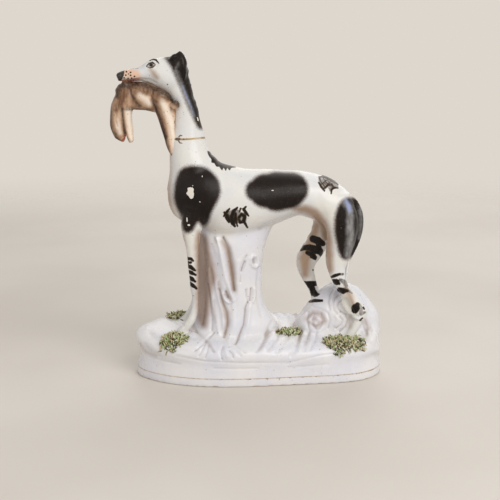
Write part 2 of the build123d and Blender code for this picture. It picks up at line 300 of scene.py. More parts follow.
def splitFaces(piece, chosen, name):
    selectFaces(piece, chosen)
    before = set(bpy.data.objects)
    bpy.ops.mesh.separate(type="SELECTED")
    bpy.ops.object.mode_set(mode="OBJECT")
    part = [item for item in bpy.data.objects if item not in before][0]
    part.name = name
    return part


def treeOf(meshes):
    # One search tree over several meshes
    points, faces = [], []
    for mesh in meshes:
        first = len(points)
        points += [vertex.co.copy() for vertex in mesh.vertices]
        faces += [tuple(index + first for index in face.vertices) for face in mesh.polygons]
    return BVHTree.FromPolygons(points, faces)


def smoothShade(piece):
    makeActive(piece)
    bpy.ops.object.shade_smooth()


# Marks are placed in the photograph's own pixels and cast onto the figure, and mirrored for its far side.
# A mark is an outline of pixels, or a line of pixels with half widths. A half width below zero leaves
# only the line's soft edge.
markReach = {
    "sideDepth": 0.006,  # how far past the middle a mark on both sides may lie, in metres
    "oneSideDepth": 0.002,
    "limbDepth": 0.001,
    "paintSpare": 7.5,  # pixels round a painted mark that still hold its distance
    "paintFloor": -6.0,  # the layer's value away from every mark, in millimetres
    "reliefSpare": 2.6,  # how many half widths a pressed line reaches
    "reliefFade": 4,
    "thinnest": 0.05,
    "farAway": 99.0,
    "outlineSteps": 6,
}


def readReach(piece):
    # Where each point shows in the photograph, seen straight and as its mirror image
    points, normals = readPoints(piece), readNormals(piece)
    reach = {"points": points, "normals": normals}
    for side, flip in (("near", 1.0), ("far", -1.0)):
        mirror = (1.0, flip, 1.0)
        reach[side + "X"], reach[side + "Y"], line = photoPlace(points * mirror)
        line /= np.linalg.norm(line, axis=1)[:, None]
        reach[side + "Facing"] = -np.einsum("ij,ij->i", line, normals * mirror)
        reach[side + "Depth"] = points[:, 1] * flip
    return reach


def segmentGap(x, y, startX, startY, endX, endY):
    # Distance to a straight run, and how far along it the nearest place lies
    runX, runY = endX - startX, endY - startY
    square = max(runX * runX + runY * runY, 0.000001)
    along = np.clip(((x - startX) * runX + (y - startY) * runY) / square, 0, 1)
    return np.hypot(x - startX - along * runX, y - startY - along * runY), along


def lineGap(x, y, path):
    # Distance to a tapering line as a share of its half width, and the depth inside it in pixels
    share = np.full(len(x), markReach["farAway"])
    depth = -share
    if len(path) == 1:
        path = path + path
    for (startX, startY, startR), (endX, endY, endR) in zip(path[:-1], path[1:]):
        gap, along = segmentGap(x, y, startX, startY, endX, endY)
        radius = startR + (endR - startR) * along
        share = np.minimum(share, gap / np.maximum(radius, markReach["thinnest"]))
        depth = np.maximum(depth, radius - gap)
    return share, depth


def roundedOutline(corners):
    # A closed smooth line through the corners
    loop = np.array(corners, dtype=float)
    before, after, afterNext = np.roll(loop, 1, 0), np.roll(loop, -1, 0), np.roll(loop, -2, 0)
    rows = []
    for step in range(markReach["outlineSteps"]):
        t = step / markReach["outlineSteps"]
        rows.append(0.5 * (
            2 * loop
            + (after - before) * t
            + (2 * before - 5 * loop + 4 * after - afterNext) * t * t
            + (3 * loop - before - 3 * after + afterNext) * t * t * t
        ))
    return np.stack(rows, axis=1).reshape(-1, 2)


def shapeDepth(x, y, corners):
    # Depth inside a closed outline in pixels, negative outside
    loop = roundedOutline(corners)
    gap = np.full(len(x), markReach["farAway"])
    inside = np.zeros(len(x), dtype=bool)
    for (startX, startY), (endX, endY) in zip(loop, np.roll(loop, -1, 0)):
        gap = np.minimum(gap, segmentGap(x, y, startX, startY, endX, endY)[0])
        if endY != startY:
            crossing = (endX - startX) * (y - startY) / (endY - startY) + startX
            inside ^= ((startY > y) != (endY > y)) & (x < crossing)
    return np.where(inside, gap, -gap)


def isLine(mark):
    return len(mark[0]) == 3


def widest(mark):
    return max(corner[2] for corner in mark)


def markRegion(reach, side, where):
    # Which points a mark may touch: both sides of the figure, one side, or all round a near or a far limb
    if where in ("farLimb", "allRound"):
        if side == "far":
            return None
        behind = reach["nearDepth"] > markReach["limbDepth"]
        return behind if where == "farLimb" else reach["nearDepth"] < markReach["limbDepth"]
    if where != "both" and where != side + "Only":
        return None
    limit = markReach["sideDepth" if where == "both" else "oneSideDepth"]
    return (reach[side + "Facing"] > 0) & (reach[side + "Depth"] < limit)


def touchedPoints(reach, side, where, mark, spare):
    # The points that a mark may touch and that lie near it
    region = markRegion(reach, side, where)
    if region is None:
        return []
    columns, rows = [corner[0] for corner in mark], [corner[1] for corner in mark]
    x, y = reach[side + "X"], reach[side + "Y"]
    region = region & (x > min(columns) - spare) & (x < max(columns) + spare)
    return np.where(region & (y > min(rows) - spare) & (y < max(rows) + spare))[0]


def storeLayer(piece, layerName, values):
    layer = piece.data.attributes.get(layerName)
    if layer is None:
        layer = piece.data.attributes.new(layerName, "FLOAT", "POINT")
    layer.data.foreach_set("value", values.astype(np.float32))


def paintLayers(piece, layers):
    # Each layer holds how far inside its painted marks each point lies, in millimetres
    reach = readReach(piece)
    for layerName, places in layers.items():
        depth = np.full(len(reach["points"]), markReach["paintFloor"])
        for where, mark in [(where, mark) for where, marks in places.items() for mark in marks]:
            spare = markReach["paintSpare"] + (widest(mark) if isLine(mark) else 0.0)
            for side in ("near", "far"):
                region = touchedPoints(reach, side, where, mark, spare)
                if len(region) == 0:
                    continue
                x, y = reach[side + "X"][region], reach[side + "Y"][region]
                inside = lineGap(x, y, mark)[1] if isLine(mark) else shapeDepth(x, y, mark)
                depth[region] = np.maximum(depth[region], inside * pixelSize / mm)
        storeLayer(piece, layerName, depth)


def pressMarks(piece, relief):
    # Each line raises or sinks the clay by its height in millimetres
    reach = readReach(piece)
    lift = np.zeros(len(reach["points"]))
    for where, lines in relief.items():
        for height, path in lines.values():
            for side in ("near", "far"):
                region = touchedPoints(reach, side, where, path, markReach["reliefSpare"] * widest(path))
                if len(region) == 0:
                    continue
                share = lineGap(reach[side + "X"][region], reach[side + "Y"][region], path)[0]
                fade = np.clip(reach[side + "Facing"][region] * markReach["reliefFade"], 0, 1)
                lift[region] += height * mm * np.exp(-share * share) * fade
    writePoints(piece, reach["points"] + reach["normals"] * lift[:, None])


def storeRecess(piece, rounds):
    # How deep each point lies below its surroundings, in millimetres
    recessPull = 0.9
    points = readPoints(piece)
    edges = readEdges(piece)
    smooth = points
    for _ in range(rounds):
        smooth = smooth + (neighbourMean(smooth, edges) - smooth) * recessPull
    storeLayer(piece, "recess", np.einsum("ij,ij->i", smooth - points, readNormals(piece)) / mm)


print("camera")
makeCamera()

dogNodes = [
    "torso_near", "torso_far", "head_near", "head_far", "ear_near", "ear_far",
    "fore_leg_near", "fore_leg_far", "hind_leg_near", "hind_leg_far", "tail",
]
headNodes = [name for name in dogNodes if name.startswith(("head_", "ear_"))]
bodyNodes = [name for name in dogNodes if name not in headNodes]
trunkNodes = ["trunk_front", "trunk_back"]
groundNodes = ["mound_front", "mound_back", "base_plate"]
baseNodes = ["mound_front", "mound_back", "trunk_front", "trunk_back", "base_plate"]
hareNodes = [
    "hare_body", "hare_head", "hare_ear_near", "hare_ear_far", "hare_fore_leg_near",
    "hare_fore_leg_far", "hare_hind_leg_near", "hare_hind_leg_far", "hare_tail",
]

# The moulded figure: one skin over the dog, the trunk and the base. Lengths in metres
figureSkin = {
    "voxel": 0.00112,
    "softenRounds": 26,
    "creasePull": 0.5,
    "ridgePull": 0.07,
    "plugRadius": 0.009,  # the vent is closed while the skin is drawn
    "plugHeight": (0.004, 0.009),
    "ventPlace": (0.0259, 0.0),
    "unevenness": 0.22,
    "unevenScale": 0.03,
    "unevenSeed": 4,
    "evenFoot": 0.004,
    "evenFade": 0.01,
    "recessRounds": 40,
}

# Where the base is wiped smooth, in millimetres: heights, and the distance from the middle of its oval foot
baseWall = {"from": 8, "ease": 5, "to": 40, "easeOut": 8, "outward": 30, "easeOutward": 6, "rounds": 60}
baseRim = {"from": 24, "ease": 4, "to": 80, "outward": 24, "easeOutward": 5, "rounds": 9}
ovalShare = 0.42
settlePull = 0.8

figureLumps = {
    "earRoot": {"pixel": (173.6, 58.2), "depths": (-9.5, 9.5), "radii": (4.2, 3.2, 2.5), "tilt": 24},
    "rockSkirt": {"pixel": (312.5, 323), "depths": (0.0,), "radii": (15.5, 18, 13), "tilt": 14},
    "rockShoulder": {"pixel": (368, 334), "depths": (-4.0,), "radii": (9, 25, 8), "tilt": -30},
}

figureNudges = [
    (115.6, 78.6, 117.4, 79.2, 3), (174.6, 56, 174, 54.9, 3), (190.2, 66, 188, 66, 4),
    (190.5, 75, 188.9, 75, 4), (191.4, 90, 192.6, 89.6, 4), (196, 97, 194.8, 97.6, 4),
    (198.4, 104, 197.2, 104.4, 4), (215, 159.8, 216, 157.8, 5), (357.5, 196, 354.6, 198.6, 7),
    (363.6, 201.5, 359.2, 204, 8), (367.6, 211, 363, 211.8, 8), (368.3, 222, 363.9, 222, 8),
    (367.3, 233, 363, 233, 8), (364.5, 243, 359.9, 243, 8), (360, 253, 355.2, 253, 7),
    (356, 262, 351.4, 262, 6), (353.5, 271, 349.4, 271, 6), (351.7, 280, 348, 280, 5),
    (309.5, 222, 312.9, 222.6, 5), (307.5, 231, 310.9, 231, 5), (303, 240, 306, 240.6, 5),
    (298.8, 248, 300.6, 248.2, 4), (300, 217, 300, 215.7, 6), (383.4, 341, 381.6, 341, 5),
    (377.8, 352, 380.8, 352, 4), (378.3, 330, 380, 330, 4),
]

# Parts of the photograph where the brush work is fine, as left, right, top, bottom
fineAreas = {
    "head": (100, 206, 44, 128),
    "collar": (164, 216, 132, 150),
    "napeFeather": (206, 240, 148, 174),
    "sideMark": (221, 254, 202, 232),
    "rumpMark": (315, 342, 172, 198),
    "farThigh": (297, 328, 232, 262),
    "hindBands": (300, 356, 272, 306),
    "hock": (338, 370, 296, 344),
    "foreBands": (184, 202, 254, 292),
    "bark": (198, 263, 234, 344),
    "rock": (303, 352, 286, 332),
}

# Cast relief: heights in millimetres along lines of pixels with their half widths
figureRelief = {
    "both": {
        # the ear laid back, its folds and the crease in front of it
        "earRidge": (0.7, [(181, 56, 2.2), (183, 62, 2.4), (184, 68, 2.4)]),
        "earHollow": (-0.9, [(176, 60, 2.2), (178, 66, 2), (177, 70, 1.6)]),
        "earFront": (-0.6, [(171, 61, 1.6), (174, 65, 1.6), (178, 70, 1.6)]),
        # brow, eye and cheek
        "browRidge": (0.6, [(145, 62, 1.8), (149, 60, 2), (155, 59.5, 2), (160, 63, 1.8)]),
        "eyeSocket": (-0.9, [(148, 65, 2.6), (155, 65.5, 2.6)]),
        "eyeBall": (1, [(151, 65.2, 2.4), (153, 65.2, 2.4)]),
        "cheek": (0.8, [(158, 74, 6), (164, 80, 6)]),
        "noseBridge": (-0.5, [(134, 66, 4), (142, 66, 4)]),
        "lipLine": (-0.7, [
            (122, 80, 1.2), (130, 80.3, 1.2), (140, 79, 1.2), (150, 80, 1.2), (156, 83, 1.2),
        ]),
        "nostril": (-0.4, [(118.5, 75.5, 1.3), (119.5, 76.5, 1.2)]),
        # the body's soft muscles
        "shoulderEdge": (-0.7, [(222, 172, 6), (222, 190, 6), (214, 210, 6)]),
        "elbowHollow": (-0.8, [(212, 222, 5), (222, 216, 6)]),
        "ribs": (0.6, [(245, 190, 16), (262, 196, 16)]),
        "flank": (-1, [(308, 196, 9), (306, 212, 8)]),
        "thighFront": (-0.7, [(318, 196, 5), (322, 214, 5), (326, 232, 4)]),
        "hipBone": (0.8, [(326, 180, 6), (334, 186, 6)]),
        "tailGroove": (-0.8, [(356, 204, 1.6), (359, 220, 1.6), (358, 240, 1.6), (352, 256, 1.6)]),
        # feet
        "foreToeOne": (-0.6, [(176, 321, 1.2), (180, 327, 1.2)]),
        "foreToeTwo": (-0.6, [(181, 320, 1.2), (184, 327, 1.2)]),
        # the trunk's bark: a laid-back flap, a knot, slits, grooves and root creases
        "flapEdge": (2.1, [
            (217, 238, 1.8), (220.5, 248, 2.2), (223, 262, 2.4), (226, 278, 2.4), (230.5, 292, 2),
            (232.6, 299, 1.6),
        ]),
        "flapGroove": (-2.5, [
            (223, 238, 1.6), (227.5, 248, 2.8), (230, 262, 3), (232, 276, 2.4), (234, 290, 1.6),
        ]),
        "flapFace": (1.2, [(216, 246, 3), (219.4, 258, 3.4), (221.6, 272, 3.2), (224, 286, 3)]),
        "flapTip": (1.5, [(222.5, 294, 1.3), (225, 300, 1.4), (229, 303, 1.4), (232.4, 301, 1.3)]),
        "flapNotch": (-1.9, [(226, 292, 1.7), (228, 297, 1.7)]),
        "knotRing": (1.4, [
            (250.5, 259, 1.5), (252.6, 256, 1.5), (255.6, 256, 1.5), (258, 259.6, 1.5), (258, 264.4, 1.5),
            (255.4, 267.4, 1.5), (252.4, 266.4, 1.5), (250.4, 263, 1.5), (250.5, 259, 1.5),
        ]),
        "knotHole": (-1.8, [(254.2, 260, 1.7), (254.4, 263, 1.7)]),
        "knotArc": (-1.3, [
            (246.6, 256, 1.2), (244.6, 260, 1.5), (242, 266, 1.7), (240.4, 274, 1.4), (240, 282, 1.1),
        ]),
        "slitOne": (-1.7, [(245.4, 262, 1.1), (243.4, 267, 1.4), (241.8, 271, 1.1)]),
        "slitTwo": (-2.2, [(251.6, 289, 1.2), (251.4, 295, 1.6), (250.6, 301, 1.2)]),
        "slitTwoEdge": (1.2, [(254.4, 289, 1.4), (254.4, 296, 1.5), (253, 302, 1.2)]),
        "slitThree": (-1.5, [(246.4, 290, 1.1), (247, 297, 1.3), (249, 303, 1)]),
        "grooveRight": (-2.2, [
            (248.4, 303, 1.2), (246, 308, 1.6), (245, 316, 1.7), (243.6, 325, 1.7), (240.4, 333, 1.6),
            (236, 342, 1.4),
        ]),
        "grooveRightEdge": (0.9, [(250, 308, 1.7), (249, 318, 1.9), (247.4, 328, 1.9), (244, 337, 1.6)]),
        "grooveLeftOne": (-2.2, [
            (202, 236, 2.4), (203.4, 256, 3.2), (204, 282, 3.2), (203, 306, 3), (201, 324, 2.4),
        ]),
        "ribLeftOne": (0.9, [
            (208.6, 270, 1.8), (210, 286, 2), (213, 304, 2), (217, 322, 2), (219, 334, 1.8),
        ]),
        "grooveLeftTwo": (-1.3, [
            (207.4, 284, 1.4), (209.6, 300, 1.8), (211.6, 318, 1.8), (211.4, 330, 1.6),
        ]),
        "ribLeftTwo": (1, [
            (213, 268, 1.8), (216, 284, 2), (219.4, 300, 2), (223, 314, 2), (224, 328, 1.8),
        ]),
        "grooveLeftThree": (-1.9, [
            (219, 290, 1.5), (222.6, 303, 1.9), (227, 314, 2.2), (227, 326, 2), (224, 336, 1.6),
        ]),
        "ribMiddle": (1.4, [(233, 300, 2), (233.6, 312, 2.4), (233, 326, 2.4), (229, 340, 2.2)]),
        "ridgeRight": (0.9, [
            (238, 262, 3), (238.6, 282, 3.2), (240, 300, 3.2), (238, 318, 3), (234, 334, 2.6),
        ]),
        "grooveEdge": (-0.9, [(259, 268, 1.6), (257.6, 284, 1.8), (258.4, 302, 1.8), (262, 316, 1.8)]),
        "rootStarOne": (-1.3, [(196, 331, 1.3), (203, 337, 1.5), (208.6, 343, 1.7), (213.6, 352, 1.3)]),
        "rootStarTwo": (-1.3, [
            (213.6, 333, 1.3), (207, 338.6, 1.5), (200.6, 345, 1.4), (194.6, 350.4, 1.1),
        ]),
        "rootStarThree": (-1, [(205, 343, 1.2), (201.6, 350, 1.2), (198.6, 356, 1)]),
        "rootStarFour": (-1, [(208, 345, 1.2), (206.6, 352, 1.2), (205, 358, 1)]),
        "rootCreaseTwo": (-1.1, [(222.6, 346, 1.4), (220.6, 353, 1.4), (222, 360, 1.2)]),
        "rootKnuckleNotch": (-1.4, [(229.6, 350.6, 1.1), (232.2, 353.4, 1.3), (233, 357.4, 1.1)]),
        "rootKnuckle": (1.2, [(225.6, 350, 2.4), (227.4, 356, 2.2)]),
        "rootCreaseThree": (-1, [(234, 343, 1.3), (239, 347.6, 1.4), (244.6, 352, 1.2)]),
        "rootCreaseFour": (-0.9, [(231, 345.6, 1.2), (237, 351.6, 1.3), (240.6, 356, 1.1)]),
        "skirtOne": (-1.2, [(272, 322, 1.6), (268, 331, 2), (262.6, 341, 2), (256.6, 351, 1.7)]),
        "skirtTwo": (-1.1, [(280.6, 331, 1.6), (276, 340, 1.9), (268.6, 350, 1.7)]),
        "skirtThree": (-1, [(291, 331, 1.5), (285.6, 342, 1.8), (277, 352, 1.6)]),
        "skirtRidge": (0.8, [(276, 326, 2), (271.6, 336, 2.3), (264, 348, 2.1)]),
        "bellyCrease": (-0.9, [(259, 229, 2), (266, 226, 2), (274, 223.5, 2)]),
        # the ledges along the front and the banks between them
        "ledgeUpper": (-0.5, [(176, 356, 1.2), (205, 361.6, 1.2), (240, 363.2, 1.2), (284, 362.8, 1.2)]),
        "ledgeUpperRight": (-0.5, [(286, 363.6, 1.2), (302, 360, 1.2), (318, 356, 1.2), (334, 353.6, 1.1)]),
        "ledgeLower": (-0.4, [(214, 368.6, 1.1), (236, 369, 1.1), (258, 368.6, 1)]),
        "ledgeRight": (-0.4, [(288, 367.6, 1.1), (306, 366, 1.1), (328, 364.4, 1)]),
        "ledgeLeft": (-0.4, [(150, 357, 1.3), (164, 361, 1.3), (180, 364, 1.2)]),
        "bankOne": (-1.2, [(300.6, 331, 1.8), (298.6, 340, 2), (295.6, 349, 2), (291, 356, 1.6)]),
        "bankOneRidge": (0.8, [(304.4, 332, 1.7), (302.4, 341, 1.9), (299.6, 350, 1.8)]),
        "bankTwo": (-1.1, [(309.4, 331, 1.7), (307.4, 340, 1.9), (303.6, 350, 1.8)]),
        "bankThree": (-1, [(317, 333, 1.6), (314, 341, 1.8), (310, 349, 1.6)]),
        "bankFour": (-0.9, [(150, 334, 3), (158, 342, 3), (162, 352, 2.6)]),
        "bankFive": (-0.9, [(166, 340, 2), (168, 346, 2), (171, 352, 1.8)]),
        "bankSix": (-0.8, [(176, 349, 2), (188, 351.6, 2), (196, 350, 1.8)]),
        "bankSeven": (-0.8, [(144, 345, 2.4), (150, 352, 2.4), (160, 356, 2)]),
        # the rock under the hind legs, with its whorled grooves
        "rockDot": (-1.2, [(318, 320.6, 1.6), (318.5, 320.8, 1.6)]),
        "rockRingOne": (-1, [(314, 314.6, 1.2), (311.6, 319, 1.3), (312.4, 325.4, 1.3), (316, 329.6, 1.2)]),
        "rockRingTwo": (-0.9, [(308, 312, 1.2), (306.4, 320, 1.4), (308, 328, 1.4)]),
        "rockRingThree": (-0.8, [(321, 314, 1.2), (324, 318.6, 1.3), (323.4, 325, 1.3), (320, 329.6, 1.2)]),
        "rockRingFour": (-0.8, [
            (313, 306.6, 1.2), (320, 308.4, 1.3), (327.4, 313, 1.3), (329.6, 320, 1.3), (328, 328, 1.2),
        ]),
        "whorlOne": (-1.3, [(333, 289, 1.2), (329.6, 295, 1.4), (328, 302, 1.5), (329.4, 309, 1.4)]),
        "whorlTwo": (-1.3, [
            (338, 294.6, 1.2), (334.4, 298.6, 1.4), (332.6, 304, 1.5), (333.6, 310, 1.4), (337, 313.6, 1.2),
        ]),
        "whorlThree": (-1.2, [(341.6, 299.6, 1.1), (338, 303, 1.3), (337, 307.6, 1.3), (340, 311.6, 1.2)]),
        "whorlFour": (-1.3, [
            (341, 312, 1.2), (345.6, 315, 1.4), (347.4, 320, 1.5), (345, 326.6, 1.4), (339.6, 331, 1.2),
        ]),
        "whorlFive": (-1.2, [(340, 317, 1.1), (342.4, 320.4, 1.2), (340.4, 325.4, 1.2), (336, 328.4, 1.1)]),
        "whorlRidge": (0.8, [(336, 316, 1.8), (338, 320, 1.8), (335.4, 325, 1.7)]),
        "whorlRidgeUpper": (0.8, [(335.6, 291, 1.6), (332, 297, 1.8), (330.6, 304, 1.8)]),
        "rockRidgeOne": (0.9, [(353, 291, 2), (360, 300, 2.2), (366, 309, 2.2)]),
        "rockGrooveOne": (-1.1, [(352, 287, 1.3), (359, 292, 1.5), (366.6, 301, 1.6), (371, 311, 1.6)]),
        "rockGrooveTwo": (-0.9, [(368, 314, 1.6), (371, 324, 1.8), (371, 334, 1.6)]),
        "rockGrooveThree": (-0.8, [(363, 324, 1.6), (366, 334, 1.6)]),
        "rockFootLeft": (-0.9, [(311, 304, 1.6), (305, 310, 1.7), (298, 315, 1.5)]),
    },
    "nearOnly": {
        # feet
        "hindToeOne": (-0.6, [(347, 337, 1.1), (350, 341, 1.1)]),
        "hindToeTwo": (-0.6, [(352, 337, 1.1), (354, 342, 1.1)]),
        # the rock under the hind legs, with its whorled grooves
        "tailLoop": (1.3, [
            (341.6, 296, 1.3), (343.6, 303, 1.5), (347, 309.6, 1.5), (351.6, 315, 1.5), (357, 318.6, 1.4),
            (362, 319.6, 1.2),
        ]),
        "tailLoopGap": (-1.2, [(346, 299, 1.3), (349, 306, 1.5), (352.6, 311.6, 1.4)]),
    },
}


def outwardOf(points):
    return np.hypot(points[:, 0] * ovalShare, points[:, 1]) / mm


def wallShare(points):
    # The side wall above the gilt line, eased out towards the foot and the top
    height = points[:, 2] / mm
    rise = easeIn(height, baseWall["from"], baseWall["ease"])
    rise = rise * np.clip((baseWall["to"] - height) / baseWall["easeOut"], 0, 1)
    return rise * easeIn(outwardOf(points), baseWall["outward"], baseWall["easeOutward"]) * settlePull


def rimShare(points):
    # The rim of the ground all round
    height = points[:, 2] / mm
    rise = easeIn(height, baseRim["from"], baseRim["ease"])
    outward = easeIn(outwardOf(points), baseRim["outward"], baseRim["easeOutward"])
    return rise * outward * (height < baseRim["to"]) * settlePull


def buildFigure():
    values = figureSkin
    figure = copyNodes(dogNodes + baseNodes, "figure")
    low, high = values["plugHeight"]
    bpy.ops.mesh.primitive_cylinder_add(
        radius=values["plugRadius"],
        depth=high - low,
        location=(*values["ventPlace"], (low + high) / 2),
    )
    figure = joinPieces(figure, [bpy.context.object])
    figure = addClay(figure, figureLumps)
    remeshSkin(figure, values["voxel"])
    figure = keepOutermost(figure)
    softenSkin(figure, values)
    settleSkin(figure, wallShare(readPoints(figure)), baseWall["rounds"])
    settleSkin(figure, rimShare(readPoints(figure)), baseRim["rounds"])
    nudgeSkin(figure, figureNudges)
    return figure


def refineFineAreas(piece, areas):
    # Smaller faces only where the relief and brush work are small
    centres = readFaceCentres(piece)
    chosen = np.zeros(len(centres), dtype=bool)
    for flip in (1.0, -1.0):
        x, y, _ = photoPlace(centres * (1.0, flip, 1.0))
        for left, right, top, bottom in areas.values():
            chosen |= (x > left) & (x < right) & (y > top) & (y < bottom)
    selectFaces(piece, chosen)
    bpy.ops.mesh.subdivide(number_cuts=1, quadcorner="INNERVERT")
    bpy.ops.object.mode_set(mode="OBJECT")


def sculptFigure(figure):
    values = figureSkin
    points = readPoints(figure)
    lift = smoothNoise(points, values["unevenScale"], values["unevenSeed"]) * values["unevenness"] * mm
    lift *= easeIn(points[:, 2], values["evenFoot"], values["evenFade"])
    writePoints(figure, points + readNormals(figure) * lift[:, None])
    pressMarks(figure, figureRelief)


print("figure skin")
figure = buildFigure()
print("figure faces", len(figure.data.polygons))
refineFineAreas(figure, fineAreas)
print("fine areas", len(figure.data.polygons))
sculptFigure(figure)

print("recesses")
storeRecess(figure, figureSkin["recessRounds"])

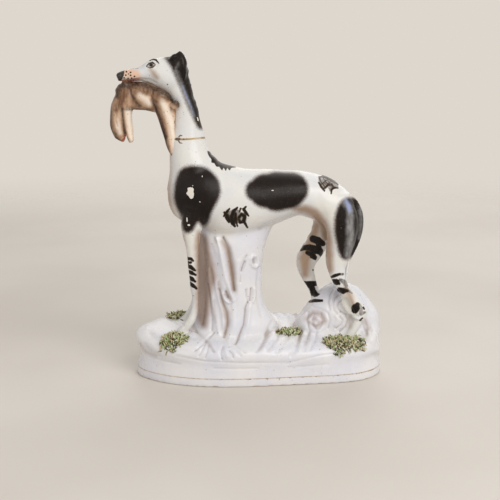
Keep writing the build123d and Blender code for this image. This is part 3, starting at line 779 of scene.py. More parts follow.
# What the painter laid on, layer by layer
figureMarks = {
    "softBlack": {
        "both": [
            # ear and nape
            [
                (163, 55), (170, 49), (180, 45), (190, 46), (195, 58), (197, 72), (199, 80), (201, 88),
                (204, 98), (206, 106), (208, 114), (210, 121), (211, 129), (203, 129.6), (198.4, 128.6),
                (195.4, 124), (191, 115), (186.4, 105), (182.6, 95), (179, 86), (176, 79), (173.4, 73),
                (170.4, 67), (166.4, 61),
            ],
            # shoulder
            [
                (180, 170), (175.6, 179), (173.6, 190), (173.6, 200), (176, 208), (180, 216), (181, 224),
                (183, 231), (188, 233.5), (193, 231), (196, 226), (198.4, 223), (202, 226.6), (206, 226),
                (209.4, 221), (211.6, 214), (215, 207), (219, 199), (221, 191), (219.6, 182), (215, 174.6),
                (206, 167.4), (196, 165.4), (187, 166),
            ],
            # back
            [
                (256.6, 190.6, 11.5), (266, 190.8, 17.6), (276.6, 191.4, 20.2), (288, 190.6, 18.8),
                (291.6, 189, 17),
            ],
            # rump, the back of the thigh and the tail
            [
                (343, 199), (338, 206), (335, 215), (334, 225), (334.4, 235), (336.4, 245), (338, 252),
                (341.6, 258.6), (346.4, 260), (352, 258), (358, 254), (364, 246), (370, 232), (371, 220),
                (369, 207), (363, 199), (357, 197.6), (350, 197),
            ],
        ],
    },
    "softGrey": {
        # painted sheen: light mirrored on the black, down the rump, along the nape and on the ear's folds
        "both": [
            [
                (345, 203, 2.6), (349.6, 208, 2.8), (350.6, 216, 2.8), (350, 226, 3.2), (350.6, 236, 3.4),
                (349.4, 246, 3.2), (347.6, 255, 2.4),
            ],
            [(176, 71, 0.8), (180, 81, 1.2), (184.6, 93, 1.4), (189.6, 106, 1.4), (193.6, 117, 1)],
            [(360.6, 206, 0.7), (361.4, 222, 0.8), (359.6, 238, 0.7)],
            [(178.4, 63, -0.2), (176.6, 67.4, 0.2)], [(187.4, 66, -0.2), (188, 71, 0.2)],
        ],
    },
    "chip": {
        "nearOnly": [
            [
                (187.6, 188), (191, 187.4), (193.8, 188.8), (193.4, 191.6), (194, 194), (193, 198.2),
                (190.4, 198.6), (188.6, 196), (186.2, 193.4), (187.8, 191),
            ],
            [(192.5, 185.5, 0.7), (193, 186.2, 0.4)], [(202, 176, 0.6), (202.6, 177, 0.5)],
            [(199.6, 201.6, 0.5), (200.6, 202.4, 0.4)], [(186.8, 217.5, 0.5), (187.2, 221.5, 0.7)],
            [(188.6, 225, 1.1), (189.6, 225.2, 0.8)], [(197.4, 117.6, 0.5), (198.2, 120.5, 0.6)],
            [(341, 228, 0.6)], [(272, 190.2, 0.6), (273.4, 190.4, 0.5)], [(272, 177.4, 0.4)],
        ],
        "farOnly": [
            [(268, 186, 0.9), (270, 189, 1.2), (271, 191, 0.7)], [(196, 196, 0.8), (198, 199, 0.6)],
        ],
    },
    "brushBlack": {
        "both": [
            # the feather at the nape
            [
                (207.4, 151), (211.6, 152.6), (216, 156.6), (221.4, 160.4), (228, 163.8), (236, 167.2),
                (231.6, 168), (229.4, 170.4), (227.4, 168.2), (225.8, 171), (223.6, 168), (222, 170.4),
                (219.2, 167), (216.2, 166.6), (214.4, 163.6), (211.4, 162.4), (211.2, 159.2), (208.8, 156),
            ],
            # three leaf marks on the ribs
            [(229.4, 208.6, 0.9), (226.8, 212, 1.7), (223.8, 216.2, 1)],
            [(224.2, 212.4, 1.2), (227, 215.4, 2), (229.6, 221, 1.6)],
            [(225.6, 217.2, 1.3), (228.8, 222, 1.3)],
            [(237.4, 207.6, 1), (233.6, 211, 2), (231.6, 217, 2.3), (232.8, 223, 2.4), (234.8, 226.4, 1.2)],
            [(235.4, 213.6, 1.6), (235.4, 221, 2.2)], [(236, 221.5, 1.2), (237.6, 226.4, 0.8)],
            [(246, 206.6, 0.9), (243.6, 209.2, 1.5), (245.4, 212, 1.8), (248.6, 215.8, 1)],
            [
                (238.8, 217.6, 1.6), (241.4, 214.2, 1.6), (244.8, 216.4, 2), (243.6, 221.4, 2),
                (240.2, 222.6, 1.6), (238.8, 219.4, 1.2),
            ],
            [(244.6, 222.6, 1.6), (247.4, 227.6, 0.9)], [(240.6, 208.6, 1.1), (239.4, 212, 0.8)],
            # the lattice leaf on the rump
            [
                (318.6, 177, 0.6), (323, 176.4, 1.1), (328.4, 178.2, 1.5), (333.4, 181.2, 1.4),
                (338, 184.6, 0.7),
            ],
            [(318.8, 182.6, 1), (321.4, 187, 1.2), (324.6, 191, 0.8)],
            [(322.8, 189.4, 0.8), (326.6, 186.4, 1.1), (329.6, 184, 1)],
            [(331.2, 193.6, 0.7), (331.6, 189.4, 1.2), (334.4, 187.6, 1.2), (338, 188, 0.7)],
            [(319.4, 178, 0.6), (321.4, 182.6, 0.5), (325.6, 187.6, 0.5)],
            [(323, 177.6, 0.5), (326, 182, 0.5), (329.6, 186, 0.5)],
            [(321, 185, 0.45), (325.6, 180.6, 0.5), (328.6, 178.8, 0.5)],
            [(324, 188.4, 0.45), (329, 182.6, 0.5), (332.6, 181, 0.5)],
            [(331.4, 184, 1.2), (333.4, 187, 1)],
            # bands down the legs
            [(187, 258.4, 1.8), (191.2, 259, 1.6), (193.4, 261, 1)],
            [(187.6, 262.4, 1.4), (190.8, 262.6, 1.3)],
            [(187, 265.4, 1.6), (190.8, 267.2, 2.3), (195, 270.4, 1.2)],
            [(187.6, 271.2, 1.5), (191.4, 272.8, 2.2), (195.8, 275, 1.1)],
            [(188.2, 276.8, 1.6), (191.6, 278.8, 2.4), (195.2, 281.6, 1.2)],
            [(189.8, 283, 1.6), (192.8, 285.4, 2.1), (196.6, 288.6, 1.2)],
            # brow, eyelids, pupil and whisker dots
            [(149.8, 60.6, 0.5), (152.8, 59.2, 0.9), (156, 59.9, 1), (158.8, 63.2, 0.5)],
            [(146.4, 66.2, 0.5), (149, 63.4, 0.7), (152.4, 62.4, 0.85), (155.2, 64.4, 0.55)],
            [(151, 64.9, 1.7)], [(147.2, 66.9, 0.4), (150, 67.9, 0.5), (153, 67, 0.5), (155, 65, 0.4)],
            [(126.5, 71.8, 0.95)], [(130.5, 72.4, 0.95)], [(125.8, 75, 0.9)], [(128.4, 74, 0.75)],
            [(130.6, 75.4, 0.85)], [(134.5, 76.4, 0.9)], [(124.2, 77.8, 0.75)], [(128, 78.3, 0.8)],
            [(131.6, 78, 0.8)], [(133.8, 79, 0.6)], [(167.5, 84.5, 0.7)],
            [(117.6, 71.6, 0.8), (116.2, 74.4, 1.2), (118.6, 79.4, 0.9)],
        ],
        "farLimb": [
            # leaf on the far thigh
            [(313, 238.8, 3.7), (318, 240.8, 4.1), (323, 243.6, 2.8)],
            [
                (301, 250, 1.3), (305, 247.6, 2.8), (310, 247.4, 3.4), (315, 249.6, 4.4), (319.6, 251, 3.8),
                (321.8, 255.8, 1.6),
            ],
            [(318, 244, 2.4), (319.4, 249, 2.8)], [(307, 252.6, 2), (311.6, 254.2, 3), (315, 257.4, 2.2)],
            [(311, 257, 1.4), (315.4, 259.4, 0.9)],
            # bands down the legs
            [(304.4, 283, 2), (309.6, 284.6, 3.8), (315.6, 283.4, 2.6)],
            [(311, 285, 3.2), (312.6, 290, 3), (315, 294, 3)],
            [(309, 293, 1.4), (314.6, 294.4, 2.6), (320, 295, 1.2)],
            [(309.6, 301.6, 1.3), (315, 300.6, 1.8), (322, 300.6, 1.4)], [(313, 270, 0.9)],
        ],
        "nearOnly": [
            # bands down the legs
            [(309.6, 301.6, 1.3), (315, 300.6, 1.8), (322, 300.6, 1.4)],
            # hock, tail tip and hind foot
            [(357.4, 304.6, 2.4), (355.6, 308, 4.4), (355, 310, 3.6)], [(363.4, 307.4, 1), (364.2, 309, 1)],
            [(360.2, 320.2, 1), (362.6, 318, 0.8)], [(347.6, 336, 1), (348.8, 336.2, 0.8)],
        ],
        "allRound": [
            # bands down the legs
            [(331.4, 277, 1.2), (335, 275.6, 1.8), (340, 274, 1.1)],
            [(333.6, 281, 2.2), (336.6, 282, 3.2), (339, 283.6, 1.6)],
            [(339.4, 289.6, 2.4), (343, 291, 3.1), (347, 290.8, 1.8)],
        ],
    },
    "brushGrey": {
        "both": [
            [
                (319, 177.4), (325, 176.6), (331, 179.4), (337.5, 184), (338, 187.6), (333.6, 189),
                (331, 193), (327.6, 187.6), (324, 190.6), (320.8, 186), (318.8, 182),
            ],
            [
                (226.6, 212), (232, 210), (237, 209), (241, 212), (246, 214), (246, 222), (240, 223),
                (233, 224), (229, 219), (225.6, 216),
            ],
            [(146.6, 66.4, 0.4), (149.4, 67.8, 0.5), (152.8, 67.4, 0.5), (155, 65.6, 0.4)],
            [(150.8, 65, 2.3), (151.4, 65, 2.3)], [(130, 68.6, 0.4), (138, 68.4, 0.4)],
        ],
        "allRound": [
            [(338, 274.2, 1.2), (342.8, 274.2, 1.3)],
            [(340, 279.6, 1.4), (344, 282, 2.6), (346.4, 286, 1.6)],
            [(345.6, 288.6, 1.8), (349.6, 291.4, 1.4), (352, 293.4, 0.8)],
        ],
        "nearOnly": [[(359.6, 304, 1), (361.4, 308, 1.4), (361, 313.6, 2), (364.6, 312.4, 1.2)]],
    },
    "warm": {
        "both": [
            # painted shade: tea-brown where the figure lies in shade, on the chest, the flank, the trunk's
            # left side and in the folds
            [(150.6, 69.6, 1), (153.4, 73, 1.9), (157, 77.6, 1.3)],
            [
                (168.4, 156, 2.2), (167, 176, 3.4), (166.4, 192, 4), (168, 206, 4), (172, 216, 3.4),
                (178, 226, 2),
            ],
            [(182.6, 236, 1), (183.4, 250, 1.2), (185, 262, 1)],
            [
                (296, 209, 2.4), (305, 209, 4), (314, 213, 4.6), (322, 223, 4.8), (327, 238, 4.8),
                (329, 254, 4.4), (330, 270, 3),
            ],
            [
                (196, 234), (206, 236), (209.6, 246), (213.6, 262), (217, 276), (214, 286), (211, 300),
                (209.6, 316), (205, 328), (197, 318), (196, 280),
            ],
            [(218, 282, 0.6), (220.4, 298, 0.8), (225, 310, 1.4), (227.6, 321, 1.8), (225, 333, 0.8)],
            [(214, 300, -0.5), (216, 322, -0.5)],
            [(222.4, 241, 1.8), (228, 250, 3), (230.6, 264, 3), (232.8, 278, 2.6), (234.4, 291, 1.4)],
            [(225, 294, 0.8), (230, 299, 1.2)],
            [
                (307, 319, 1.6), (313, 313, 2), (321, 314, 2), (324, 321, 2), (316, 326, 1.8),
                (309, 322, 1.6),
            ],
            [(315, 319, 2.6)], [(345, 288, 1.2), (350, 296, 2.2), (353, 304, 1.6)],
            [(350, 327, 0.4), (349, 318, 0.4)], [(365, 320, 0.4), (368, 328, 1.2), (367, 335, 0.8)],
            [(206, 340, -0.4), (213, 351, -0.6)], [(268, 336, -0.5), (260, 350, -0.6)],
            [(140, 344, -0.2), (146, 352, -0.2), (156, 356, -0.4)], [(301, 334, -0.6), (297, 346, -0.5)],
            [(309, 334, -0.7), (305, 345, -0.7)],
        ],
        "farLimb": [
            # painted shade: tea-brown where the far thigh lies in shade
            [(316, 226, 5), (312, 240, 5), (305, 258, 6), (305, 274, 4)],
        ],
    },
    "nose": {
        "both": [
            [
                (113.6, 73.6), (116, 69.6), (121, 68.6), (124, 70), (124, 74.6), (122.6, 78.4), (120, 81),
                (117, 80.6), (114.6, 77.6),
            ],
        ],
    },
    "blush": {
        "both": [[(121, 73, 4.2), (129, 73, 5.4), (135.6, 74, 4.2), (139, 76, 1.8)]],
    },
    "red": {
        "both": [
            [(121.6, 80.8, 1.2), (127, 80.8, 1.4), (132, 80.2, 1.1), (139, 79.6, 0.7)],
            [(131, 79.2, 0.6), (137, 78.9, 0.7), (143, 79.4, 0.4)], [(126, 79.8, 0.5), (131, 79.6, 0.5)],
        ],
    },
    "gilt": {
        "both": [[(172, 139, 0.9), (183, 139.4, 1), (190, 139.1, 0.9), (200, 138.1, 1), (210, 137.2, 0.9)]],
    },
    "buckle": {
        "nearOnly": [
            [(176.8, 139.2, 1.5), (179.2, 139, 1.3)],
            [(179, 136.6, 0.7), (180.4, 135.4, 0.7), (182, 135.7, 0.5)],
            [(178.6, 141, 0.7), (180, 142.9, 0.7), (182, 143.3, 0.5)], [(183.6, 139.2, 0.8)],
        ],
    },
    "blueSheen": {
        # painted reflection: blue light mirrored on the black of the rump and the nape
        "both": [
            [(345, 199.6, 1.6), (348, 204.4, 2.4), (350, 210.6, 1.8)],
            [(182.6, 86, 0.2), (187, 97, 0.4), (190.6, 106, 0.2), (194.4, 116, -0.1)],
        ],
    },
}

print("painting")
paintLayers(figure, figureMarks)

# The gilt line round the foot of the base, in millimetres above the table, on the upright wall only
baseGilt = {"height": 6.9, "halfWidth": 0.5, "steepest": 0.7}


def paintBaseGilt(figure):
    gilt = readRows(figure.data.attributes["gilt"].data, "value", 1)[:, 0]
    line = baseGilt["halfWidth"] - np.abs(readPoints(figure)[:, 2] / mm - baseGilt["height"])
    upright = np.abs(readNormals(figure)[:, 2]) < baseGilt["steepest"]
    line = np.where(upright, line, markReach["paintFloor"])
    storeLayer(figure, "gilt", np.maximum(gilt, line))


paintBaseGilt(figure)

# Levels in metres at which the skin is parted into pieces
partLevels = {
    "dogFrom": 0.02,
    "dogAbove": 0.16,
    "headAbove": 0.1965,
    "trunkFrom": 0.03,
    "trunkAbove": 1.0,
    "underBelow": 0.0095,
    "underFacing": -0.6,
}


def keepNormals(piece):
    # Kept so that the shading stays unbroken where the skin is parted
    layer = piece.data.attributes.new("skinNormal", "FLOAT_VECTOR", "POINT")
    layer.data.foreach_set("vector", readNormals(piece).ravel().astype(np.float32))


def setKeptNormals(piece):
    smoothShade(piece)
    normals = readRows(piece.data.attributes["skinNormal"].data, "vector", kind=np.float32)
    piece.data.normals_split_custom_set_from_vertices(normals.tolist())
    piece.data.attributes.remove(piece.data.attributes["skinNormal"])


def nearerFaces(piece, ownNodes, otherNodes, lowest, highest):
    # Faces that lie closer to the first nodes than to the others, and all of those above the highest level
    ownTree, otherTree = (
        treeOf([frame["nodes"][name].data for name in names]) for names in (ownNodes, otherNodes)
    )
    centres = readFaceCentres(piece)
    own = centres[:, 2] > highest
    for index in np.where((centres[:, 2] > lowest) & ~own)[0]:
        place = Vector(centres[index])
        own[index] = ownTree.find_nearest(place)[3] < otherTree.find_nearest(place)[3]
    return own


print("parting the skin")
keepNormals(figure)
dogFaces = nearerFaces(figure, dogNodes, baseNodes, partLevels["dogFrom"], partLevels["dogAbove"])
dog = splitFaces(figure, dogFaces, "dog")
ground = figure
ground.name = "ground"
underFaces = readFaceCentres(ground)[:, 2] < partLevels["underBelow"]
underFaces &= readRows(ground.data.polygons, "normal")[:, 2] < partLevels["underFacing"]
underside = splitFaces(ground, underFaces, "underside")
head = splitFaces(dog, readFaceCentres(dog)[:, 2] > partLevels["headAbove"], "dog_head")
trunkFaces = nearerFaces(ground, trunkNodes, groundNodes, partLevels["trunkFrom"], partLevels["trunkAbove"])
trunk = splitFaces(ground, trunkFaces, "trunk")
for piece in (dog, head, trunk, ground, underside):
    setKeptNormals(piece)
    print(piece.name, len(piece.data.polygons))

# The hare hanging from the dog's jaws
hareSkin = {
    "voxel": 0.00058,
    "softenRounds": 22,
    "creasePull": 0.45,
    "ridgePull": 0.08,
    "unevenness": 0.16,
    "unevenScale": 0.018,
    "unevenSeed": 9,
    "foldRounds": 26,
    "foldFade": 1.6,
    "recessRounds": 30,
}

hareRelief = {
    "both": {
        "backFold": (0.6, [(122, 84, 2.4), (134, 84.5, 2.6), (146, 87, 2.6), (158, 92, 2.4)]),
        "bellyFoldOne": (-0.9, [(130, 90, 1.3), (132, 96, 1.5), (136, 102, 1.5), (141, 107, 1.3)]),
        "bellyFoldTwo": (-0.8, [(151, 96, 1.3), (155, 102, 1.5), (158, 109, 1.3)]),
        "bellyFoldThree": (-0.7, [(121, 92, 1.3), (122, 100, 1.4), (126, 107, 1.3)]),
        "ribFold": (0.6, [(138, 93, 3), (146, 99, 3), (150, 106, 2.6)]),
        "haunch": (0.8, [(160, 98, 4), (165, 106, 4.4), (167, 116, 3.8)]),
        "haunchEdge": (-0.7, [(156, 98, 1.4), (160, 110, 1.6), (164, 124, 1.6)]),
        "legLine": (-0.6, [(168, 122, 1.2), (170.5, 138, 1.2), (172.5, 152, 1.1)]),
        "headLine": (-0.9, [(121.8, 109, 1.2), (122.6, 118, 1.4), (123.6, 128, 1.4), (126, 137, 1.2)]),
        "earLineOne": (-0.7, [(113, 110, 1), (112, 116, 1.1), (112.6, 123, 1)]),
        "earLineTwo": (-0.7, [(117, 111, 1), (115.6, 119, 1.1), (117.4, 127, 1)]),
        "eyeDimple": (-0.5, [(114.4, 133.4, 1.8)]),
        "eyeBead": (0.7, [(114.5, 133.5, 1.1)]),
        "mouthLine": (-0.5, [(121, 138.6, 0.9), (124, 136, 0.9)]),
        "foreLegLine": (-0.5, [(128, 128, 1.1), (131, 136, 1.1)]),
    },
}

hareMarks = {
    "hareDark": {
        # the hare's dark back and scut, and painted shade down the far hind leg, the head's left edge and
        # the folds
        "both": [
            [
                (119.6, 84.6, 4.2), (126, 84.4, 4), (134, 83.6, 3.6), (142, 84, 3.3), (150, 86.6, 3.2),
                (158, 90, 3.2), (165, 93.8, 3.2), (170, 97.6, 2.9), (172.4, 101, 2.2),
            ],
            [(118, 90, 3), (117, 96, 2.2)],
            [
                (113.6, 96, 1.4), (111, 102, 1.5), (109.4, 112, 1.2), (109.4, 124, 1), (111, 132, 1.3),
                (115.4, 138.6, 1.4), (121, 142, 1.2),
            ],
            [
                (151.6, 100, 0.8), (155.6, 107, 2), (159, 117, 2.2), (162.6, 128, 2.4), (165.6, 139, 2.2),
                (168, 150, 1.8), (169.6, 158, 1.3),
            ],
            [(121.8, 109, 1.1), (122.6, 118, 1.2), (123.4, 128, 1.2), (125.4, 136, 1), (128, 140.4, 0.7)],
            [(130.6, 92, 0.6), (132.6, 97, 1), (135.6, 102, 1), (139.6, 106.4, 0.8)],
            [(113.8, 133, 1.2), (115, 134.4, 1)], [(171.6, 154.4, 0.9), (174.6, 154, 0.5)],
            [(126, 109.6, 0.6), (136, 109.4, 0.6), (146, 109.8, 0.6), (152, 110.6, 0.6)],
        ],
        "allRound": [[(169.6, 98, 1.8), (173, 101, 2.8), (177, 103, 3.8), (180, 106.4, 2.8)]],
    },
    "hareTan": {
        # tan on the hare's back, and painted shade over the shoulder, along the belly folds and the haunch's
        # edge
        "both": [
            [(122, 90, 6.4), (134, 90, 5.6), (146, 91, 4.6), (158, 95, 3.2), (166, 99, 1.8)],
            [(122, 96, 7), (120, 104, 5.6), (116, 110, 3.4)],
            [(111, 112, 2.2), (111, 126, 2.4), (116, 137, 3.4), (120, 140, 2.2)],
            [(131, 94, 3), (134, 101, 3.2), (139, 106, 2.6)],
            [(152, 98, 2.2), (157, 107, 2.8), (161, 118, 2), (166, 136, 2)],
            [(124, 108, 2.6), (132, 108, 2), (146, 109, 1.6), (152, 109, 1.6)],
        ],
    },
    "harePale": {
        "both": [
            [(128.6, 112, 3), (129.6, 120, 3.4), (130.4, 130, 3), (131.6, 139, 2)],
            [(162.6, 102, 2.6), (167.6, 111, 3.8), (171.4, 124, 3.4), (173.6, 140, 2.6), (174.6, 152, 1.8)],
            [(117.6, 120, 0.8), (118.6, 127, 2), (120, 133, 1.2)],
            [(140, 96, 2.2), (146, 100, 3.2), (149, 104, 2.4)],
        ],
    },
    "hareRed": {
        "both": [[(122.6, 140.6, 0.9), (125, 138, 1.2), (125.4, 134, 0.8)]],
    },
}

hareLumps = {
    "bite": {"pixel": (124.2, 84.8), "depths": (0.0,), "radii": (4.8, 7.5, 4.6), "tilt": 0},
    "shoulder": {"pixel": (122.8, 89.4), "depths": (0.0,), "radii": (5.2, 9.4, 5.8), "tilt": 30},
    "neck": {"pixel": (117.9, 95.0), "depths": (0.0,), "radii": (4.0, 7.6, 8.0), "tilt": -20},
    "haunch": {"pixel": (161.4, 96), "depths": (-9.2, 9.2), "radii": (7.6, 5.2, 4.9), "tilt": -24},
    "legRoot": {"pixel": (172.6, 112), "depths": (-4.6, 4.6), "radii": (2.4, 4.4, 7.6), "tilt": 6},
    "ear": {"pixel": (114, 117), "depths": (-7.0, 7.0), "radii": (2.0, 1.7, 7.0), "tilt": -4},
}

hareNudges = [
    (113.6, 89, 116.2, 90.2, 8), (116.4, 83.6, 118.4, 84.4, 6), (175.6, 107, 175.8, 103.4, 6.5),
    (121, 138.4, 122.8, 141, 4.5), (129.8, 140.4, 131.2, 140.6, 3), (171.6, 152, 174, 152, 6),
    (171, 157, 173.4, 156.6, 4), (172.6, 138, 174.4, 138, 6), (173.6, 124, 174.8, 124, 6),
]

# Where the lumps meet the hare's body: pixel and reach in pixels
hareFolds = [(118.5, 86, 6.0), (117.5, 93, 5.0), (126.5, 90, 5.0), (161.5, 94, 6.0)]


def foldShare(points):
    # High over the folds, where the clay is wiped smooth
    share = np.zeros(len(points))
    for pixelX, pixelY, reach in hareFolds:
        place, line = photoRay(pixelX, pixelY)
        middle = place - line * (place.y / line.y)
        gap = np.hypot(points[:, 0] - middle.x, points[:, 2] - middle.z) / (reach * pixelSize)
        share = np.maximum(share, np.clip(hareSkin["foldFade"] - gap, 0, 1))
    return share * settlePull


def buildHare():
    values = hareSkin
    # the solids' ears are left to the lumps, which lie flatter
    hare = copyNodes([name for name in hareNodes if "ear_" not in name], "hare")
    hare = addClay(hare, hareLumps)
    remeshSkin(hare, values["voxel"])
    hare = keepOutermost(hare)
    softenSkin(hare, values)
    nudgeSkin(hare, hareNudges)
    settleSkin(hare, foldShare(readPoints(hare)), values["foldRounds"])
    points = readPoints(hare)
    lift = smoothNoise(points, values["unevenScale"], values["unevenSeed"]) * values["unevenness"] * mm
    writePoints(hare, points + readNormals(hare) * lift[:, None])
    pressMarks(hare, hareRelief)
    storeRecess(hare, values["recessRounds"])
    paintLayers(hare, hareMarks)
    smoothShade(hare)
    return hare


print("hare")
hare = buildHare()
print("hare faces", len(hare.data.polygons))

# Tufts of pressed clay threads
grassTufts = {
    "tuft_fore_front": {"threads": 430, "seed": 3, "shift": (0.0, 0.0), "grow": (1.6, 1.3)},
    "tuft_fore_back": {"threads": 260, "seed": 5, "shift": (-0.001, 0.0), "grow": (1.25, 1.1)},
    "tuft_middle": {"threads": 330, "seed": 7, "shift": (-0.003, -0.0036), "grow": (1.3, 0.62)},
    "tuft_hind_front": {"threads": 500, "seed": 11, "shift": (0.0035, -0.001), "grow": (1.7, 1.35)},
    "tuft_hind_end": {"threads": 320, "seed": 13, "shift": (-0.002, -0.002), "grow": (1.45, 1.1)},
}
grassThread = {
    "radius": 0.00068,
    "sides": 5,
    "rings": 6,
    "shortest": 0.0026,
    "longest": 0.0062,
    "leastLean": 0.1,
    "mostLean": 1.4,
    "curl": 2.6,
    "curlPerRing": 0.42,
    "curlAtFoot": 0.4,
    "sunk": 0.0012,
    "taper": 0.45,
    "thinnest": 0.9,
    "thickest": 1.12,
}
grassStand = {
    "spread": 0.8,
    "aboveTuft": 0.004,
    "belowTuft": 0.006,
    "upright": 0.6,
    "outward": 60,
    "crown": 0.0016,
    "clumpWaves": (820, 760),
    "clumpShare": 0.55,
    "chanceShare": 0.62,
}


def growThread(root, normal, chance):
    # One thread as rings of points: it starts in the ground, leans out and curls at its end
    values = grassThread
    length = chance.uniform(values["shortest"], values["longest"])
    around = chance.uniform(0, 2 * math.pi)
    across = Vector((0, 0, 1)) if abs(normal.z) < 0.9 else Vector((1, 0, 0))
    side = normal.cross(across).normalized()
    side = side * math.cos(around) + normal.cross(side) * math.sin(around)
    lean = chance.uniform(values["leastLean"], values["mostLean"])
    curl = chance.uniform(-values["curl"], values["curl"])
    heading = (normal * math.cos(lean) + side * math.sin(lean)).normalized()
    # the small vector keeps the cross product from vanishing
    bend = heading.cross(normal + side * 0.3 + Vector((0.01, 0.02, 0.03))).normalized()
    place = root - normal * values["sunk"]
    steps = values["rings"] - 1
    rows = []
    for ring in range(values["rings"]):
        share = ring / steps
        width = values["radius"] * (1.0 - values["taper"] * share ** 3)
        width *= chance.uniform(values["thinnest"], values["thickest"])
        across = heading.cross(bend).normalized()
        for corner in range(values["sides"]):
            turn = 2 * math.pi * corner / values["sides"]
            rows.append(place + bend * (width * math.cos(turn)) + across * (width * math.sin(turn)))
        place = place + heading * (length / steps)
        turned = across * (curl * values["curlPerRing"]) * (values["curlAtFoot"] + share)
        heading = (heading + turned).normalized()
        bend = (bend - heading * bend.dot(heading)).normalized()
    return rows


def threadFaces(first):
    # The sides of one thread and its two ends
    sides, rings = grassThread["sides"], grassThread["rings"]
    faces = []
    for ring in range(rings - 1):
        for corner in range(sides):
            a = first + ring * sides + corner
            b = first + ring * sides + (corner + 1) % sides
            faces.append((a, b, b + sides, a + sides))
    faces.append(tuple(first + corner for corner in reversed(range(sides))))
    faces.append(tuple(first + (rings - 1) * sides + corner for corner in range(sides)))
    return faces


def makeTuft(nodeName, values, groundTree):
    low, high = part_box(nodeName)
    chance = random.Random(values["seed"])
    stand, seed = grassStand, values["seed"]
    middle = (Vector(low) + Vector(high)) / 2 + Vector((*values["shift"], 0))
    half = (Vector(high) - Vector(low)) / 2
    half.x *= values["grow"][0]
    half.y *= values["grow"][1]
    waveX, waveY = stand["clumpWaves"]
    points, faces, shades = [], [], []
    for _ in range(values["threads"]):
        angle = chance.uniform(0, 2 * math.pi)
        spread = math.sqrt(chance.random()) * stand["spread"]
        x = middle.x + half.x * spread * math.cos(angle)
        y = middle.y + half.y * spread * math.sin(angle)
        above = Vector((x, y, high[2] + stand["aboveTuft"]))
        hit, normal, _, _ = groundTree.ray_cast(above, Vector((0, 0, -1)))
        if hit is None or hit.z < low[2] - stand["belowTuft"]:
            continue
        outward = Vector((x - middle.x, y - middle.y, 0))
        facing = (normal + Vector((0, 0, stand["upright"])) + outward * stand["outward"]).normalized()
        root = hit + Vector((0, 0, stand["crown"] * (1 - spread)))
        rows = growThread(root, facing, chance)
        faces += threadFaces(len(points))
        points += rows
        # threads of one colour stand in clumps
        clump = 0.5 + 0.5 * math.sin(x * waveX + seed) * math.cos(y * waveY + seed * 2)
        shade = (clump * stand["clumpShare"] + chance.random() * stand["chanceShare"]) % 1.0
        shades += [shade] * len(rows)
    steps = grassThread["rings"] - 1
    tips = np.repeat([ring / steps for ring in range(steps + 1)], grassThread["sides"])
    mesh = bpy.data.meshes.new(nodeName.replace("tuft", "grass"))
    mesh.from_pydata([tuple(point) for point in points], [], faces)
    piece = bpy.data.objects.new(mesh.name, mesh)
    bpy.context.collection.objects.link(piece)
    shapeAll(piece, bpy.ops.mesh.normals_make_consistent, inside=False)
    storeLayer(piece, "threadShade", np.array(shades))
    storeLayer(piece, "threadTip", np.tile(tips, len(points) // len(tips)))
    smoothShade(piece)
    return piece


print("grass")
groundTree = treeOf([ground.data])
tufts = {name: makeTuft(name, values, groundTree) for name, values in grassTufts.items()}


# Node helpers

def tone(red, green, sheenBlue):
    # A colour as it is read off a screen, made linear
    def linear(level):
        level /= 255
        return level / 12.92 if level <= 0.04045 else ((level + 0.055) / 1.055) ** 2.4
    return (linear(red), linear(green), linear(sheenBlue), 1.0)


def feed(tree, socket, value):
    if isinstance(value, bpy.types.NodeSocket):
        tree.links.new(value, socket)
    elif value is not None:
        socket.default_value = value


def newGroup(name, inputs, outputs):
    # Inputs are numbers, and an input without one is a place; outputs are numbers
    group = bpy.data.node_groups.new(name, "ShaderNodeTree")
    for socketName, value in inputs.items():
        kind = "NodeSocketVector" if value is None else "NodeSocketFloat"
        socket = group.interface.new_socket(name=socketName, in_out="INPUT", socket_type=kind)
        if value is not None:
            socket.default_value = value
    for socketName in outputs:
        group.interface.new_socket(name=socketName, in_out="OUTPUT", socket_type="NodeSocketFloat")
    return group, group.nodes.new("NodeGroupInput").outputs, group.nodes.new("NodeGroupOutput").inputs


def useGroup(tree, group, values):
    node = tree.nodes.new("ShaderNodeGroup")
    node.node_tree = group
    for socketName, value in values.items():
        feed(tree, node.inputs[socketName], value)
    return node.outputs


def noiseNode(tree, place, scale, detail=2.0, roughness=0.5, stretch=None):
    if stretch is not None:
        mapping = tree.nodes.new("ShaderNodeMapping")
        mapping.inputs["Scale"].default_value = stretch
        feed(tree, mapping.inputs["Vector"], place)
        place = mapping.outputs["Vector"]
    noise = tree.nodes.new("ShaderNodeTexNoise")
    feed(tree, noise.inputs["Vector"], place)
    feed(tree, noise.inputs["Scale"], scale)
    noise.inputs["Detail"].default_value = detail
    noise.inputs["Roughness"].default_value = roughness
    return noise.outputs["Fac"]


def mathNode(tree, operation, *values):
    node = tree.nodes.new("ShaderNodeMath")
    node.operation = operation
    for socket, value in zip(node.inputs, values):
        feed(tree, socket, value)
    return node.outputs[0]


def timesNode(tree, value, share):
    return mathNode(tree, "MULTIPLY", value, share)


def spanNode(tree, value, share, start):
    # The start, and the value's share on top of it
    return mathNode(tree, "MULTIPLY_ADD", value, share, start)


def rampNode(tree, value, low, high, lowOut=0.0, highOut=1.0):
    node = tree.nodes.new("ShaderNodeMapRange")
    node.interpolation_type = "SMOOTHSTEP"
    for socketName, item in (
        ("Value", value), ("From Min", low), ("From Max", high), ("To Min", lowOut), ("To Max", highOut)
    ):
        feed(tree, node.inputs[socketName], item)
    return node.outputs["Result"]


def mixColour(tree, share, first, second):
    node = tree.nodes.new("ShaderNodeMix")
    node.data_type = "RGBA"
    feed(tree, node.inputs["Factor"], share)
    feed(tree, node.inputs[6], first)
    feed(tree, node.inputs[7], second)
    return node.outputs[2]


def washOver(tree, colour, mask, share, wash):
    # One more wash of colour where the mask lies, as strong as the share says
    return mixColour(tree, timesNode(tree, mask, share), colour, wash)


def layerValue(tree, layerName):
    node = tree.nodes.new("ShaderNodeAttribute")
    node.attribute_name = layerName
    return node.outputs["Fac"]


